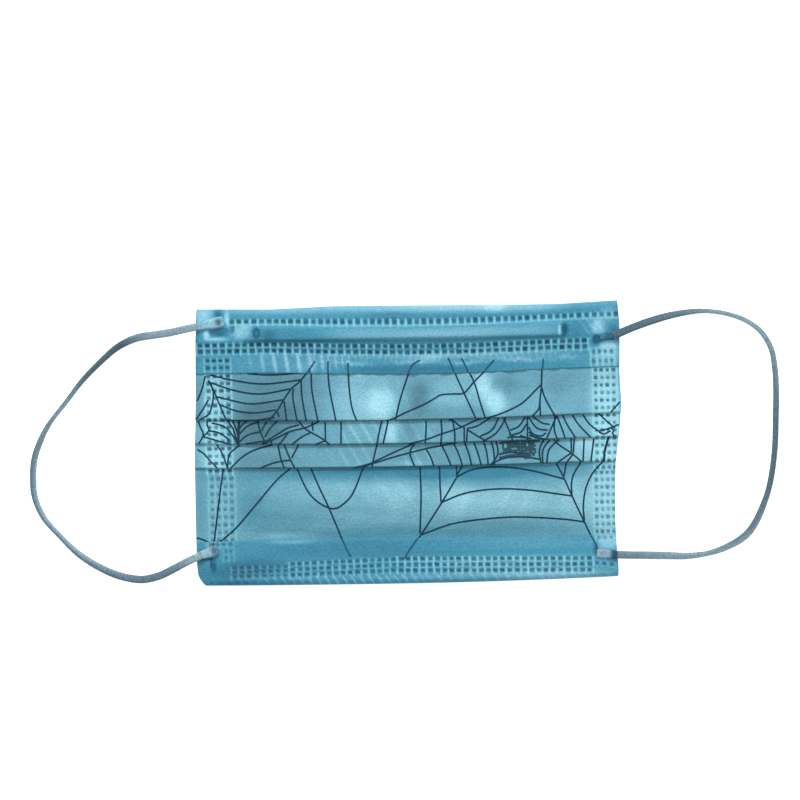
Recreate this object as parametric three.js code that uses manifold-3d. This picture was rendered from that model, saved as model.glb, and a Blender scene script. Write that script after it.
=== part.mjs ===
// A child's disposable face mask, lying flat on a table with its printed side up.
// X runs across the mask, +Y points to the nose edge and +Z up from the table.
// The origin is on the table, below the middle of the cloth. All sizes are in millimetres.
import * as THREE from "three";
import { mergeVertices } from "three/addons/utils/BufferGeometryUtils.js";
import Module from "manifold-3d";

// Cloth body
const BODY_WIDTH = 146;
const BODY_HEIGHT = 96;
const CLOTH = 1.0; // the plies of the mask together, as one soft sheet
const WELDED_CLOTH = 0.55; // the same plies where the side welds press them
const PLY_GAP = 0.15; // air between two folded layers
const WELDED_PLY_GAP = 0.06;
const PIECE_GAP = 0.3; // clearance between two neighbouring pieces

// Pleats, side weld strips and puffs
const PLEAT_DEPTH = 6.5; // cloth hidden behind each fold edge
const LEFT_STRIP = 12.0;
const RIGHT_STRIP = 9.0;
const STRIP_RAMP = 8.0; // from the pressed strip to the full height of the folds
const PUFF_HEIGHT = 1.3;
const CHIN_RISE = 1.2; // how much higher the chin edge is at its two ends

// Hems, folded round the nose edge and the chin edge and turned to the front
const HEM_CLOTH = 1.0;
const TOP_HEM_FRONT = 22.4;
const BOTTOM_HEM_FRONT = 15.6;
const HEM_BACK = 8.0;

// Nose wire in its channel
const WIRE_LENGTH = 107;
const WIRE_WIDTH = 3.7;
const WIRE_THICKNESS = 0.8;
const WIRE_SET_IN = 9.0; // from the nose edge to the middle of the wire
const CHANNEL_MARGIN = 1.4; // cloth that rises on each side of the wire

// Elastics
const ELASTIC_WIDTH = 2.8;
const ELASTIC_THICKNESS = 1.3;
const TAB_WIDTH = 3.0;
const TAB_THICKNESS = 0.8;
const TAB_SET_IN = 1.7; // from the side edge of the cloth to a tab's outer end
const ELASTIC_STEPS = 44;

// Fold edges from the nose down. Shares of BODY_HEIGHT: the edge's place above the middle,
// and how much higher it runs at the two sides.
const PLEATS = [
  { name: "nose pleat", edge: 0.0885, sideRise: 0.0125 },
  { name: "middle pleat", edge: 0.002, sideRise: 0.0135 },
  { name: "chin pleat", edge: -0.081, sideRise: 0.0078 },
];

// Side edges from nose to chin: height as a share of half of BODY_HEIGHT,
// reach to the left and right as shares of half of BODY_WIDTH.
const SIDE_ROWS = [
  { up: 1.0, left: 0.984, right: 0.99 },
  { up: 0.72, left: 0.99, right: 1.0 },
  { up: 0.3, left: 0.997, right: 1.0 },
  { up: 0.0, left: 1.0, right: 0.994 },
  { up: -0.27, left: 1.0, right: 0.976 },
  { up: -0.56, left: 0.998, right: 0.978 },
  { up: -0.86, left: 0.997, right: 0.985 },
  { up: -0.94, left: 0.988, right: 0.986 },
  { up: -1.0, left: 0.957, right: 0.98 },
];

// Puffs of the four visible panels, 0 at the nose and 3 at the chin: middle and half width
// as shares of half of BODY_WIDTH, height as a share of PUFF_HEIGHT.
const PUFFS = [
  { panel: 0, across: -0.55, wide: 0.14, high: 0.35 },
  { panel: 0, across: -0.1, wide: 0.13, high: 0.75 },
  { panel: 0, across: 0.36, wide: 0.15, high: 1.0 },
  { panel: 1, across: -0.5, wide: 0.2, high: 0.25 },
  { panel: 1, across: 0.1, wide: 0.2, high: 0.5 },
  { panel: 2, across: -0.15, wide: 0.25, high: 0.3 },
  { panel: 2, across: 0.5, wide: 0.15, high: 0.35 },
  { panel: 3, across: -0.45, wide: 0.35, high: 0.6 },
  { panel: 3, across: 0.3, wide: 0.4, high: 0.9 },
];
const FOLD_SHARE = 0.5; // how much of a puff the fold edge below it takes part in

// Routes of the two elastics along their middle, from the nose corner to the chin corner.
const LEFT_LOOP_ROUTE = [
  [-71.6, 41.9, 4.6], [-75, 41.3, 4.2], [-80.5, 40.3, 2], [-86.5, 39.5, 0.8],
  [-93, 38.5, 0.7], [-99.5, 35.5, 0.7], [-105.5, 30.5, 0.7], [-112, 24, 0.7],
  [-117.5, 17, 0.7], [-123.5, 9.5, 0.7], [-127, 3, 0.7], [-129, -3, 0.7],
  [-129.5, -9.5, 0.7], [-129, -16, 0.7], [-126, -23, 0.7], [-120.5, -29.5, 0.7],
  [-114.5, -35.5, 0.7], [-108, -40, 0.7], [-100.5, -43.5, 0.7], [-93, -45, 0.7],
  [-87, -44, 0.9], [-82, -41.8, 2], [-76.5, -39, 4.1], [-71.6, -36.8, 4.6],
];
const RIGHT_LOOP_ROUTE = [
  [71.6, 36.2, 4.6], [75, 37.5, 4.3], [79.5, 39.3, 2.8], [84.5, 41, 1.1],
  [91, 42.8, 0.7], [98, 44, 0.7], [104, 44.3, 0.7], [111, 43.3, 0.7],
  [117.5, 41, 0.7], [123, 37, 0.7], [126.5, 31, 0.7], [127.7, 24, 0.7],
  [128, 16, 0.7], [127.7, 7, 0.7], [127.3, -2, 0.7], [126.3, -10.5, 0.7],
  [124.7, -18, 0.7], [122.3, -24.5, 0.7], [119.5, -30, 0.7], [116, -34, 0.7],
  [110.5, -37.2, 0.7], [104, -39.4, 0.7], [96.5, -40.3, 0.7], [88, -40, 0.7],
  [81.5, -39.7, 1.9], [77, -39.5, 4], [71.6, -39.2, 4.6],
];

// Welded ends of the elastics on the front. down and turn are shares of the hem's front leg:
// from the folded edge to the outer end, and how far the inner end turns to the middle.
// The length is a share of the weld strip's width.
const TABS = [
  { name: "ear_loop_tab_top_left", side: -1, edge: 1, down: 0.272, turn: 0.076, length: 0.79 },
  { name: "ear_loop_tab_top_right", side: 1, edge: 1, down: 0.531, turn: 0.076, length: 0.644 },
  { name: "ear_loop_tab_bottom_left", side: -1, edge: -1, down: 0.718, turn: 0.122, length: 0.667 },
  { name: "ear_loop_tab_bottom_right", side: 1, edge: -1, down: 0.564, turn: 0.07, length: 0.778 },
];

// Fineness of the solids
const BODY_STEPS = 16; // across the loose part of the body
const FOLD_TURN_STEPS = 4;
const HEM_TURN_STEPS = 6;
const CHANNEL_SHARES = [0, 0.14, 0.28, 0.72, 0.86, 1]; // rows across the wire channel
const CORNER_STEPS = 3;

// Levels that follow from the sizes above
const HALF_WIDTH = BODY_WIDTH / 2;
const HALF_HEIGHT = BODY_HEIGHT / 2;
const SHEET_SEAT = HEM_CLOTH + PIECE_GAP + CLOTH / 2; // middle of the sheet inside a hem
const HEM_TOP = 2 * SHEET_SEAT; // front face of a hem
const TOP_HEM_EDGE = HALF_HEIGHT - TOP_HEM_FRONT;
const BOTTOM_HEM_EDGE = BOTTOM_HEM_FRONT - HALF_HEIGHT;

const wasm = await Module();
wasm.setup();

function clamp01(value) {
  return Math.min(1, Math.max(0, value));
}

function smooth(value) {
  const t = clamp01(value);
  return t * t * (3 - 2 * t);
}

function mix(a, b, share) {
  return a + (b - a) * share;
}

// Height of a curve from (startHeight, startSlope) to (endHeight, endSlope) over a length.
function easeCurve(share, length, startHeight, startSlope, endHeight, endSlope) {
  const t = clamp01(share);
  const t2 = t * t;
  const t3 = t2 * t;
  return (
    startHeight * (2 * t3 - 3 * t2 + 1) +
    startSlope * length * (t3 - 2 * t2 + t) +
    endHeight * (3 * t2 - 2 * t3) +
    endSlope * length * (t3 - t2)
  );
}

// Reach of one side edge at height y, as a share of half the width.
function sideReach(y, side) {
  const up = y / HALF_HEIGHT;
  const key = side < 0 ? "left" : "right";
  let row = 0;
  while (row < SIDE_ROWS.length - 2 && SIDE_ROWS[row + 1].up > up) row += 1;
  const above = SIDE_ROWS[row];
  const below = SIDE_ROWS[row + 1];
  const share = clamp01((above.up - up) / (above.up - below.up));
  return mix(above[key], below[key], share);
}

function acrossAt(station, y) {
  return station * HALF_WIDTH * sideReach(y, station);
}

function chinShift(station) {
  return CHIN_RISE * station * station;
}

// 0 in the weld strips and 1 where the folds stand at full height.
function looseness(station) {
  const x = station * HALF_WIDTH;
  const fromLeft = (x + HALF_WIDTH - LEFT_STRIP) / STRIP_RAMP;
  const fromRight = (HALF_WIDTH - RIGHT_STRIP - x) / STRIP_RAMP;
  return smooth(Math.min(fromLeft, fromRight));
}

function puff(panel, station) {
  let height = 0;
  for (const row of PUFFS) {
    if (row.panel !== panel) continue;
    const away = (station - row.across) / row.wide;
    height += row.high * Math.exp(-away * away);
  }
  return height * PUFF_HEIGHT * looseness(station);
}

// Stations across the width: side edges, strip borders, ramps and even steps between them.
function bodyStations(steps) {
  const left = -1 + LEFT_STRIP / HALF_WIDTH;
  const right = 1 - RIGHT_STRIP / HALF_WIDTH;
  const ramp = STRIP_RAMP / HALF_WIDTH;
  const stations = [-1, left, left + ramp / 2];
  for (let i = 0; i <= steps; i += 1) stations.push(mix(left + ramp, right - ramp, i / steps));
  stations.push(right - ramp / 2, right, 1);
  return stations;
}

// The three folds of one station: place, height and slope of each fold edge's top layer.
function foldStack(station) {
  const loose = looseness(station);
  const cloth = mix(WELDED_CLOTH, CLOTH, loose);
  const pitch = cloth + mix(WELDED_PLY_GAP, PLY_GAP, loose);
  const edges = PLEATS.map((row) => BODY_HEIGHT * (row.edge + row.sideRise * station * station));
  const folds = [];
  for (let i = 0; i < PLEATS.length; i += 1) {
    const spacing = i === 0 ? edges[0] - edges[1] : edges[i - 1] - edges[i];
    const evenAngle = Math.asin((2 * pitch) / spacing);
    const lean = (pitch / 2) * Math.sin(evenAngle);
    const turnStart = edges[i] + (pitch + cloth) / 2 + lean;
    const pocketStart = edges[i] + PLEAT_DEPTH - (pitch + cloth) / 2 + lean;
    const drop = pitch / Math.cos(evenAngle);
    const rest = drop + (pitch / 2) * Math.cos(evenAngle) + (pitch + cloth) / 2;
    const climb = Math.tan(evenAngle) * (pocketStart - turnStart);
    const height = rest + climb + FOLD_SHARE * puff(i, station);
    let slope = Math.tan(evenAngle);
    if (i > 0) {
      const above = folds[i - 1];
      slope = (height - above.underEdge) / (above.edge - turnStart);
    }
    const layers = 2 * pitch * Math.hypot(1, slope);
    const underEdge = height + slope * (turnStart - edges[i]) - layers;
    folds.push({ edge: edges[i], turnStart, pocketStart, height, slope, layers, underEdge });
  }
  return { cloth, pitch, folds };
}

// Heights of the four panels of one station, as functions of y. Each panel slides under the
// fold edge above it, parallel to that fold, and climbs to its own fold edge.
function panelHeights(station, folds) {
  const climbTo = (fold) => (y) => fold.height - fold.slope * (y - fold.turnStart);
  const under = (fold) => (y) => climbTo(fold)(y) - fold.layers;
  const [first, second, third] = folds;

  const easeFrom = first.edge + PLEAT_DEPTH + CLOTH;
  const easeTo = TOP_HEM_EDGE - CLOTH / 2;
  const noseSwell = (1 - FOLD_SHARE) * puff(0, station);
  const nose = (y) => {
    const along = clamp01((y - first.turnStart) / (easeTo - first.turnStart));
    const wave = noseSwell * Math.sin(Math.PI * along);
    if (y < easeFrom) return climbTo(first)(y) + wave;
    const length = easeTo - easeFrom;
    const share = (y - easeFrom) / length;
    return easeCurve(share, length, climbTo(first)(easeFrom), -first.slope, SHEET_SEAT, 0) + wave;
  };

  const between = (above, own) => (y) => (y >= above.edge ? under(above)(y) : climbTo(own)(y));

  const chinTo = BOTTOM_HEM_EDGE + CLOTH / 2;
  const chinSwell = puff(3, station);
  const chin = (y) => {
    if (y >= third.edge) return under(third)(y);
    const length = third.edge - chinTo;
    const share = (third.edge - y) / length;
    const wave = chinSwell * Math.sin(Math.PI * clamp01(share)) ** 1.5;
    return easeCurve(share, length, third.underEdge, third.slope, SHEET_SEAT, 0) + wave;
  };
  return [nose, between(first, second), between(second, third), chin];
}

function pushRun(line, height, from, to, steps) {
  for (let i = 0; i <= steps; i += 1) {
    const y = mix(from, to, i / steps);
    line.push({ y, z: height(y) });
  }
}

// Half turn below the point at which a layer ends. The layer runs along (ahead, rise).
function pushTurn(line, pitch, ahead, rise) {
  const start = line[line.length - 1];
  const down = { y: -Math.abs(rise), z: -Math.abs(ahead) };
  const centre = { y: start.y + (pitch / 2) * down.y, z: start.z + (pitch / 2) * down.z };
  for (let i = 1; i <= FOLD_TURN_STEPS; i += 1) {
    const turn = (Math.PI * i) / FOLD_TURN_STEPS;
    const back = -Math.cos(turn) * (pitch / 2);
    const out = Math.sin(turn) * (pitch / 2);
    line.push({
      y: centre.y - back * -down.y + out * ahead,
      z: centre.z + back * down.z + out * rise,
    });
  }
}

// Middle line of the pleated sheet at one station, from the nose edge to the chin edge.
function sheetLine(station) {
  const { cloth, pitch, folds } = foldStack(station);
  const heights = panelHeights(station, folds);
  const noseEnd = HALF_HEIGHT - SHEET_SEAT;
  const chinEnd = -HALF_HEIGHT + SHEET_SEAT + chinShift(station);
  const line = [];
  pushRun(line, heights[0], noseEnd, TOP_HEM_EDGE, 2);
  line.pop();
  let from = TOP_HEM_EDGE;
  folds.forEach((fold, i) => {
    const steps = i === 0 ? 5 : 4;
    const ahead = 1 / Math.hypot(1, fold.slope);
    const rise = fold.slope * ahead;
    pushRun(line, heights[i], from, fold.turnStart, steps);
    pushTurn(line, pitch, -ahead, rise);
    const turned = line[line.length - 1];
    const back = (y) => turned.z - fold.slope * (y - turned.y);
    pushRun(line, back, mix(turned.y, fold.pocketStart, 0.5), fold.pocketStart, 1);
    pushTurn(line, pitch, ahead, -rise);
    from = mix(line[line.length - 1].y, fold.edge, 0.5);
  });
  const lowest = folds[folds.length - 1].edge;
  pushRun(line, heights[3], from, lowest, 1);
  line.pop();
  pushRun(line, heights[3], lowest, BOTTOM_HEM_EDGE, 8);
  line.pop();
  pushRun(line, heights[3], BOTTOM_HEM_EDGE, chinEnd, 2);
  return { line, cloth };
}

// Closed ring of a cloth section: the middle line moved half the cloth to each side.
function clothRing(line, cloth) {
  const front = [];
  const back = [];
  for (let i = 0; i < line.length; i += 1) {
    const before = line[Math.max(0, i - 1)];
    const after = line[Math.min(line.length - 1, i + 1)];
    const run = { y: after.y - before.y, z: after.z - before.z };
    const length = Math.hypot(run.y, run.z);
    const out = { y: run.z / length, z: -run.y / length };
    front.push({ y: line[i].y + (out.y * cloth) / 2, z: line[i].z + (out.z * cloth) / 2 });
    back.unshift({ y: line[i].y - (out.y * cloth) / 2, z: line[i].z - (out.z * cloth) / 2 });
  }
  return front.concat(back);
}

// Closed body through rings of equal length, one ring for each station from left to right.
function loftRings(stations, rings) {
  const count = rings[0].length;
  const positions = [];
  const faces = [];
  stations.forEach((station, j) => {
    for (const point of rings[j]) positions.push(acrossAt(station, point.y), point.y, point.z);
  });
  for (let j = 0; j < stations.length - 1; j += 1) {
    for (let i = 0; i < count; i += 1) {
      const a = j * count + i;
      const b = j * count + ((i + 1) % count);
      faces.push(a, b, b + count, a, b + count, a + count);
    }
  }
  const last = (stations.length - 1) * count;
  const contourOf = (ring) => ring.map((point) => new THREE.Vector2(point.y, point.z));
  for (const [a, b, c] of THREE.ShapeUtils.triangulateShape(contourOf(rings[0]), [])) {
    faces.push(a, c, b);
  }
  for (const [a, b, c] of THREE.ShapeUtils.triangulateShape(contourOf(rings.at(-1)), [])) {
    faces.push(last + a, last + b, last + c);
  }
  const geometry = new THREE.BufferGeometry();
  geometry.setAttribute("position", new THREE.Float32BufferAttribute(positions, 3));
  geometry.setIndex(faces);
  return geometry;
}

function solidFrom(geometry) {
  const bare = geometry.clone();
  bare.deleteAttribute("normal");
  bare.deleteAttribute("uv");
  const merged = mergeVertices(bare);
  const mesh = new wasm.Mesh({
    numProp: 3,
    vertProperties: new Float32Array(merged.attributes.position.array),
    triVerts: new Uint32Array(merged.index.array),
  });
  return new wasm.Manifold(mesh);
}

function geometryFrom(solid) {
  const mesh = solid.getMesh();
  const geometry = new THREE.BufferGeometry();
  geometry.setAttribute("position", new THREE.BufferAttribute(mesh.vertProperties, 3));
  geometry.setIndex(new THREE.BufferAttribute(mesh.triVerts, 1));
  return geometry;
}

// Upper side of a weld strip: the middle line of the layer that lies on top.
function stripRing(station) {
  const { cloth, folds } = foldStack(station);
  const heights = panelHeights(station, folds);
  const top = HALF_HEIGHT - HEM_BACK - PIECE_GAP;
  const bottom = -HALF_HEIGHT + HEM_BACK + PIECE_GAP + chinShift(station);
  const ring = [];
  let from = top;
  folds.forEach((fold, i) => {
    const step = fold.edge + cloth / 2;
    pushRun(ring, heights[i], from, step, 3);
    from = step;
  });
  pushRun(ring, heights[3], from, bottom, 4);
  ring.push({ y: bottom, z: 0 }, { y: top, z: 0 });
  return ring;
}

// The side welds fuse all layers of a strip, so the folds are filled there.
function weldStrip(side, width) {
  const outer = side * (1 - PLY_GAP / HALF_WIDTH);
  const inner = side * (1 - width / HALF_WIDTH);
  const stations = side < 0 ? [outer, inner] : [inner, outer];
  return loftRings(stations, stations.map(stripRing));
}

function pleatedPanel() {
  const stations = bodyStations(BODY_STEPS);
  const rings = stations.map((station) => {
    const { line, cloth } = sheetLine(station);
    return clothRing(line, cloth);
  });
  const sheet = solidFrom(loftRings(stations, rings));
  const left = solidFrom(weldStrip(-1, LEFT_STRIP));
  const right = solidFrom(weldStrip(1, RIGHT_STRIP));
  return geometryFrom(sheet.add(left).add(right));
}

// Middle line of a hem, measured inwards from the folded edge: back leg, turn, front leg.
function hemLine(frontWidth, frontRise) {
  const backHeight = HEM_CLOTH / 2;
  const radius = SHEET_SEAT - backHeight;
  const line = [];
  for (const share of [1, 0.5]) {
    line.push({ inward: mix(SHEET_SEAT, HEM_BACK, share), z: backHeight });
  }
  for (let i = 0; i <= HEM_TURN_STEPS; i += 1) {
    const turn = (Math.PI * i) / HEM_TURN_STEPS;
    line.push({
      inward: SHEET_SEAT - radius * Math.sin(turn),
      z: SHEET_SEAT - radius * Math.cos(turn),
    });
  }
  const frontHeight = HEM_TOP - HEM_CLOTH / 2;
  const channelFrom = WIRE_SET_IN - WIRE_WIDTH / 2 - CHANNEL_MARGIN;
  const channelTo = WIRE_SET_IN + WIRE_WIDTH / 2 + CHANNEL_MARGIN;
  const channel = CHANNEL_SHARES.map((share) => mix(channelFrom, channelTo, share));
  const inwards = frontRise
    ? [...channel, mix(channelTo, frontWidth, 0.5), frontWidth]
    : [frontWidth / 2, frontWidth];
  for (const inward of inwards) {
    line.push({ inward, z: frontHeight + frontRise * channelShape(inward) });
  }
  return line;
}

// 1 over the wire, falling to 0 at the borders of its channel.
function channelShape(inward) {
  const away = Math.abs(inward - WIRE_SET_IN) - WIRE_WIDTH / 2;
  return 1 - smooth(away / CHANNEL_MARGIN);
}

function topHem() {
  const rise = PIECE_GAP + WIRE_THICKNESS;
  const end = (WIRE_LENGTH / 2 + PIECE_GAP) / HALF_WIDTH;
  const beyond = end + (2 * CHANNEL_MARGIN) / HALF_WIDTH;
  const raised = [-end, -end / 2, 0, end / 2, end];
  const stations = [-1, -beyond, ...raised, beyond, 1];
  const rings = stations.map((station) => {
    const share = raised.includes(station) ? 1 : 0;
    const line = hemLine(TOP_HEM_FRONT, rise).map((point) => {
      const flat = Math.min(point.z, HEM_TOP - HEM_CLOTH / 2);
      return { y: HALF_HEIGHT - point.inward, z: mix(flat, point.z, share) };
    });
    return asOutward(clothRing(line, HEM_CLOTH));
  });
  return loftRings(stations, rings);
}

function bottomHem() {
  const stations = [-1, -0.8, -0.6, -0.4, -0.2, 0, 0.2, 0.4, 0.6, 0.8, 1];
  const rings = stations.map((station) => {
    const line = hemLine(BOTTOM_HEM_FRONT, 0).map((point) => {
      const fade = 1 - point.inward / BOTTOM_HEM_FRONT;
      const shift = point.z > SHEET_SEAT ? chinShift(station) * clamp01(fade) : chinShift(station);
      return { y: -HALF_HEIGHT + point.inward + shift, z: point.z };
    });
    return asOutward(clothRing(line, HEM_CLOTH));
  });
  return loftRings(stations, rings);
}

// Rings run against the clock as seen from the right, so that lofted faces point outwards.
function asOutward(ring) {
  let area = 0;
  ring.forEach((point, i) => {
    const next = ring[(i + 1) % ring.length];
    area += point.y * next.z - next.y * point.z;
  });
  return area > 0 ? ring : ring.slice().reverse();
}

function roundedStrip(length, width, radius) {
  const shape = new THREE.Shape();
  const x = length / 2;
  const y = width / 2;
  shape.moveTo(-x + radius, -y);
  shape.lineTo(x - radius, -y);
  shape.absarc(x - radius, -y + radius, radius, -Math.PI / 2, 0, false);
  shape.absarc(x - radius, y - radius, radius, 0, Math.PI / 2, false);
  shape.absarc(-x + radius, y - radius, radius, Math.PI / 2, Math.PI, false);
  shape.absarc(-x + radius, -y + radius, radius, Math.PI, Math.PI * 1.5, false);
  return shape;
}

function plate(shape, depth) {
  return new THREE.ExtrudeGeometry(shape, {
    depth, bevelEnabled: false, curveSegments: CORNER_STEPS,
  });
}

function noseWire() {
  const shape = roundedStrip(WIRE_LENGTH, WIRE_WIDTH, WIRE_WIDTH / 6);
  return plate(shape, WIRE_THICKNESS);
}

function elasticTab(length) {
  const shape = roundedStrip(length, TAB_WIDTH, TAB_WIDTH / 4);
  return plate(shape, TAB_THICKNESS);
}

function elasticLoop(route) {
  const section = new THREE.Shape();
  for (let i = 0; i < 8; i += 1) {
    const turn = ((i + 0.5) * Math.PI) / 4;
    const x = (ELASTIC_THICKNESS / 2 / Math.cos(Math.PI / 8)) * Math.cos(turn);
    const y = (ELASTIC_WIDTH / 2 / Math.cos(Math.PI / 8)) * Math.sin(turn);
    if (i === 0) section.moveTo(x, y);
    else section.lineTo(x, y);
  }
  section.closePath();
  const points = route.map(([x, y, z]) => new THREE.Vector3(x, y, z));
  const path = new THREE.CatmullRomCurve3(points, false, "centripetal");
  return new THREE.ExtrudeGeometry(section, {
    steps: ELASTIC_STEPS, extrudePath: path, bevelEnabled: false,
  });
}

function clothMaterial(color) {
  return new THREE.MeshStandardMaterial({ color, roughness: 0.8, metalness: 0 });
}

function namedMesh(name, geometry, material) {
  const mesh = new THREE.Mesh(geometry, material);
  mesh.name = name;
  return mesh;
}

const mask = new THREE.Group();
mask.add(namedMesh("pleated_panel", pleatedPanel(), clothMaterial(0x86c3d8)));
mask.add(namedMesh("top_hem", topHem(), clothMaterial(0x67a5bd)));
mask.add(namedMesh("bottom_hem", bottomHem(), clothMaterial(0x4a91b0)));

const wire = namedMesh("nose_wire", noseWire(), new THREE.MeshStandardMaterial({
  color: 0x5f93a8, roughness: 0.5, metalness: 0,
}));
wire.position.set(0, HALF_HEIGHT - WIRE_SET_IN, SHEET_SEAT + CLOTH / 2 + PIECE_GAP);
mask.add(wire);

const elasticColor = 0x8ba9b4;
mask.add(namedMesh("ear_loop_left", elasticLoop(LEFT_LOOP_ROUTE), clothMaterial(elasticColor)));
mask.add(namedMesh("ear_loop_right", elasticLoop(RIGHT_LOOP_ROUTE), clothMaterial(elasticColor)));

for (const row of TABS) {
  const strip = row.side < 0 ? LEFT_STRIP : RIGHT_STRIP;
  const hem = row.edge > 0 ? TOP_HEM_FRONT : BOTTOM_HEM_FRONT;
  const length = row.length * strip;
  const angle = Math.asin((row.turn * hem) / length);
  const x = HALF_WIDTH - TAB_SET_IN - (Math.cos(angle) * length) / 2;
  const y = HALF_HEIGHT - (row.down + row.turn / 2) * hem;
  const tab = namedMesh(row.name, elasticTab(length), clothMaterial(elasticColor));
  tab.position.set(row.side * x, row.edge * y, HEM_TOP + PIECE_GAP);
  tab.rotation.z = row.side * row.edge * angle;
  mask.add(tab);
}

export default mask;
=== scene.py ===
# %% [markdown]
# A child's disposable face mask lies flat on a white table. It is a pleated panel of thin
# nonwoven cloth, two welded hems, a nose wire in a channel, and two flat elastics.
# The lesson shows how folded cloth, weld dots, a printed pattern and knitted elastic can
# all be made from a few formulas. Positions are in millimetres until a mesh is made.

# %% Start
import math

import bpy
import numpy as np
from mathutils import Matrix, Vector
from mathutils.bvhtree import BVHTree


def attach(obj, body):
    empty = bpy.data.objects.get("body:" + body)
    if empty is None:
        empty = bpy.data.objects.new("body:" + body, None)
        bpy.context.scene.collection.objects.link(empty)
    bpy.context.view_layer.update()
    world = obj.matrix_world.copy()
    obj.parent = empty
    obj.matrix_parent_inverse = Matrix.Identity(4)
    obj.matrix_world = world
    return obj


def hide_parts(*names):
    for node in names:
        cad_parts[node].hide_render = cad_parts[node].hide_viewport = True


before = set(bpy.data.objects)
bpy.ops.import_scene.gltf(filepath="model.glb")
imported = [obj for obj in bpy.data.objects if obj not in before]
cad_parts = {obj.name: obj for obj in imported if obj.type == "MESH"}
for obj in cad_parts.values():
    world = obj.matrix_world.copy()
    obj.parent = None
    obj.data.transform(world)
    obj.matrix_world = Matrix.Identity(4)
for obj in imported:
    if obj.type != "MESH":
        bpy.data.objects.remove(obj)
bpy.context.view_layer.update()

MM = 0.001

# %% [markdown]
# The camera looks straight down, as in a catalogue picture, from far away through a long
# lens. An orthographic camera would do nearly as well, but a lens keeps the slight depth of
# a real picture. The mask lies turned by one degree, so the camera turns by that.

# %% Camera
CAMERA_HEIGHT = 900.0
VIEW_WIDTH = 276.0  # what the picture shows from side to side
VIEW_LEVEL = 3.0  # height above the table at which that width is measured
VIEW_MIDDLE = (-2.13, 15.4)
PHOTO_TURN = math.radians(1.05)
SENSOR = 36.0

camera = bpy.data.objects.new("camera", bpy.data.cameras.new("camera"))
bpy.context.scene.collection.objects.link(camera)
camera.location = Vector((VIEW_MIDDLE[0], VIEW_MIDDLE[1], CAMERA_HEIGHT)) * MM
camera.rotation_euler = (0, 0, -PHOTO_TURN)
camera.data.sensor_width = SENSOR
camera.data.lens = SENSOR * (CAMERA_HEIGHT - VIEW_LEVEL) / VIEW_WIDTH
camera.data.clip_start = 0.01
camera.data.clip_end = 10.0
bpy.context.scene.camera = camera
print("lens", round(camera.data.lens, 1), "mm")

# %% [markdown]
# A white table and soft white light from all round make the plain background. A picture of
# a studio could light it, but a plain sky and two lamps are easier to steer. The stronger
# lamp stands towards the nose edge, so that each fold throws a thin shadow downwards.

# %% Table and lights
FLOOR_SIDE = 4.0
WORLD_LEVEL = 0.62
KEY_PLACE = (-0.25, 0.9, 0.75)
KEY_SIDE = 0.35
KEY_POWER = 15.0
TOP_PLACE = (0.1, 0.1, 1.3)
TOP_SIDE = 0.9
TOP_POWER = 9.0
FLOOR_GLOW = 0.35  # a lit table keeps the background white
FLOOR_DROP = 0.0001  # so that the table and the cloth on it don't share a plane


def principled(name, color, roughness):
    material = bpy.data.materials.new(name)
    material.use_nodes = True
    shader = material.node_tree.nodes["Principled BSDF"]
    shader.inputs["Base Color"].default_value = (*color, 1.0)
    shader.inputs["Roughness"].default_value = roughness
    return material, shader


def soft_lamp(name, place, side, power):
    lamp = bpy.data.objects.new(name, bpy.data.lights.new(name, "AREA"))
    bpy.context.scene.collection.objects.link(lamp)
    lamp.location = place
    lamp.rotation_euler = (-Vector(place)).to_track_quat("-Z", "Y").to_euler()
    lamp.data.size = side
    lamp.data.energy = power
    return lamp


floor_mesh = bpy.data.meshes.new("table")
reach = FLOOR_SIDE / 2
corners = [(-reach, -reach, 0), (reach, -reach, 0), (reach, reach, 0), (-reach, reach, 0)]
floor_mesh.from_pydata(corners, [], [(0, 1, 2, 3)])
floor = bpy.data.objects.new("table", floor_mesh)
bpy.context.scene.collection.objects.link(floor)
floor.location.z = -FLOOR_DROP
floor_material, floor_shader = principled("table_white", (0.95, 0.95, 0.95), 0.9)
floor_shader.inputs["Emission Color"].default_value = (1, 1, 1, 1)
floor_shader.inputs["Emission Strength"].default_value = FLOOR_GLOW
floor_mesh.materials.append(floor_material)

world = bpy.data.worlds.new("studio")
world.use_nodes = True
world.node_tree.nodes["Background"].inputs["Color"].default_value = (1, 1, 1, 1)
world.node_tree.nodes["Background"].inputs["Strength"].default_value = WORLD_LEVEL
bpy.context.scene.world = world
soft_lamp("key", KEY_PLACE, KEY_SIDE, KEY_POWER)
soft_lamp("overhead", TOP_PLACE, TOP_SIDE, TOP_POWER)
bpy.context.scene.view_settings.view_transform = "Standard"
print("lamps", KEY_POWER, "and", TOP_POWER, "watts")

# %% [markdown]
# Small helpers for soft steps, mixes and colours. A paint chart gives a colour as three
# numbers up to 255, but a shader works in linear light, so the numbers are changed first.

# %% Soft steps and colours


def smooth(value):
    t = np.clip(value, 0.0, 1.0)
    return t * t * (3 - 2 * t)


def mix(a, b, share):
    return a + (b - a) * share


LIGHT_LEVEL = 1.85  # brightness of a white surface here, which the colours are divided by


def paint(red, green, blue):
    """A colour from 0 to 255 as the linear colour that a shader takes."""
    share = np.array([red, green, blue]) / 255
    return np.where(share <= 0.04045, share / 12.92, ((share + 0.055) / 1.055) ** 2.4)


print("white paint", paint(255, 255, 255) / LIGHT_LEVEL)

# %% [markdown]
# Every sheet of this mask is a grid of points. A plane bent by modifiers could give such a
# grid too, but folds that lie on each other are easier to place by formula. So the points
# are worked out first, and the faces are listed to match.

# %% Grids


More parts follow.
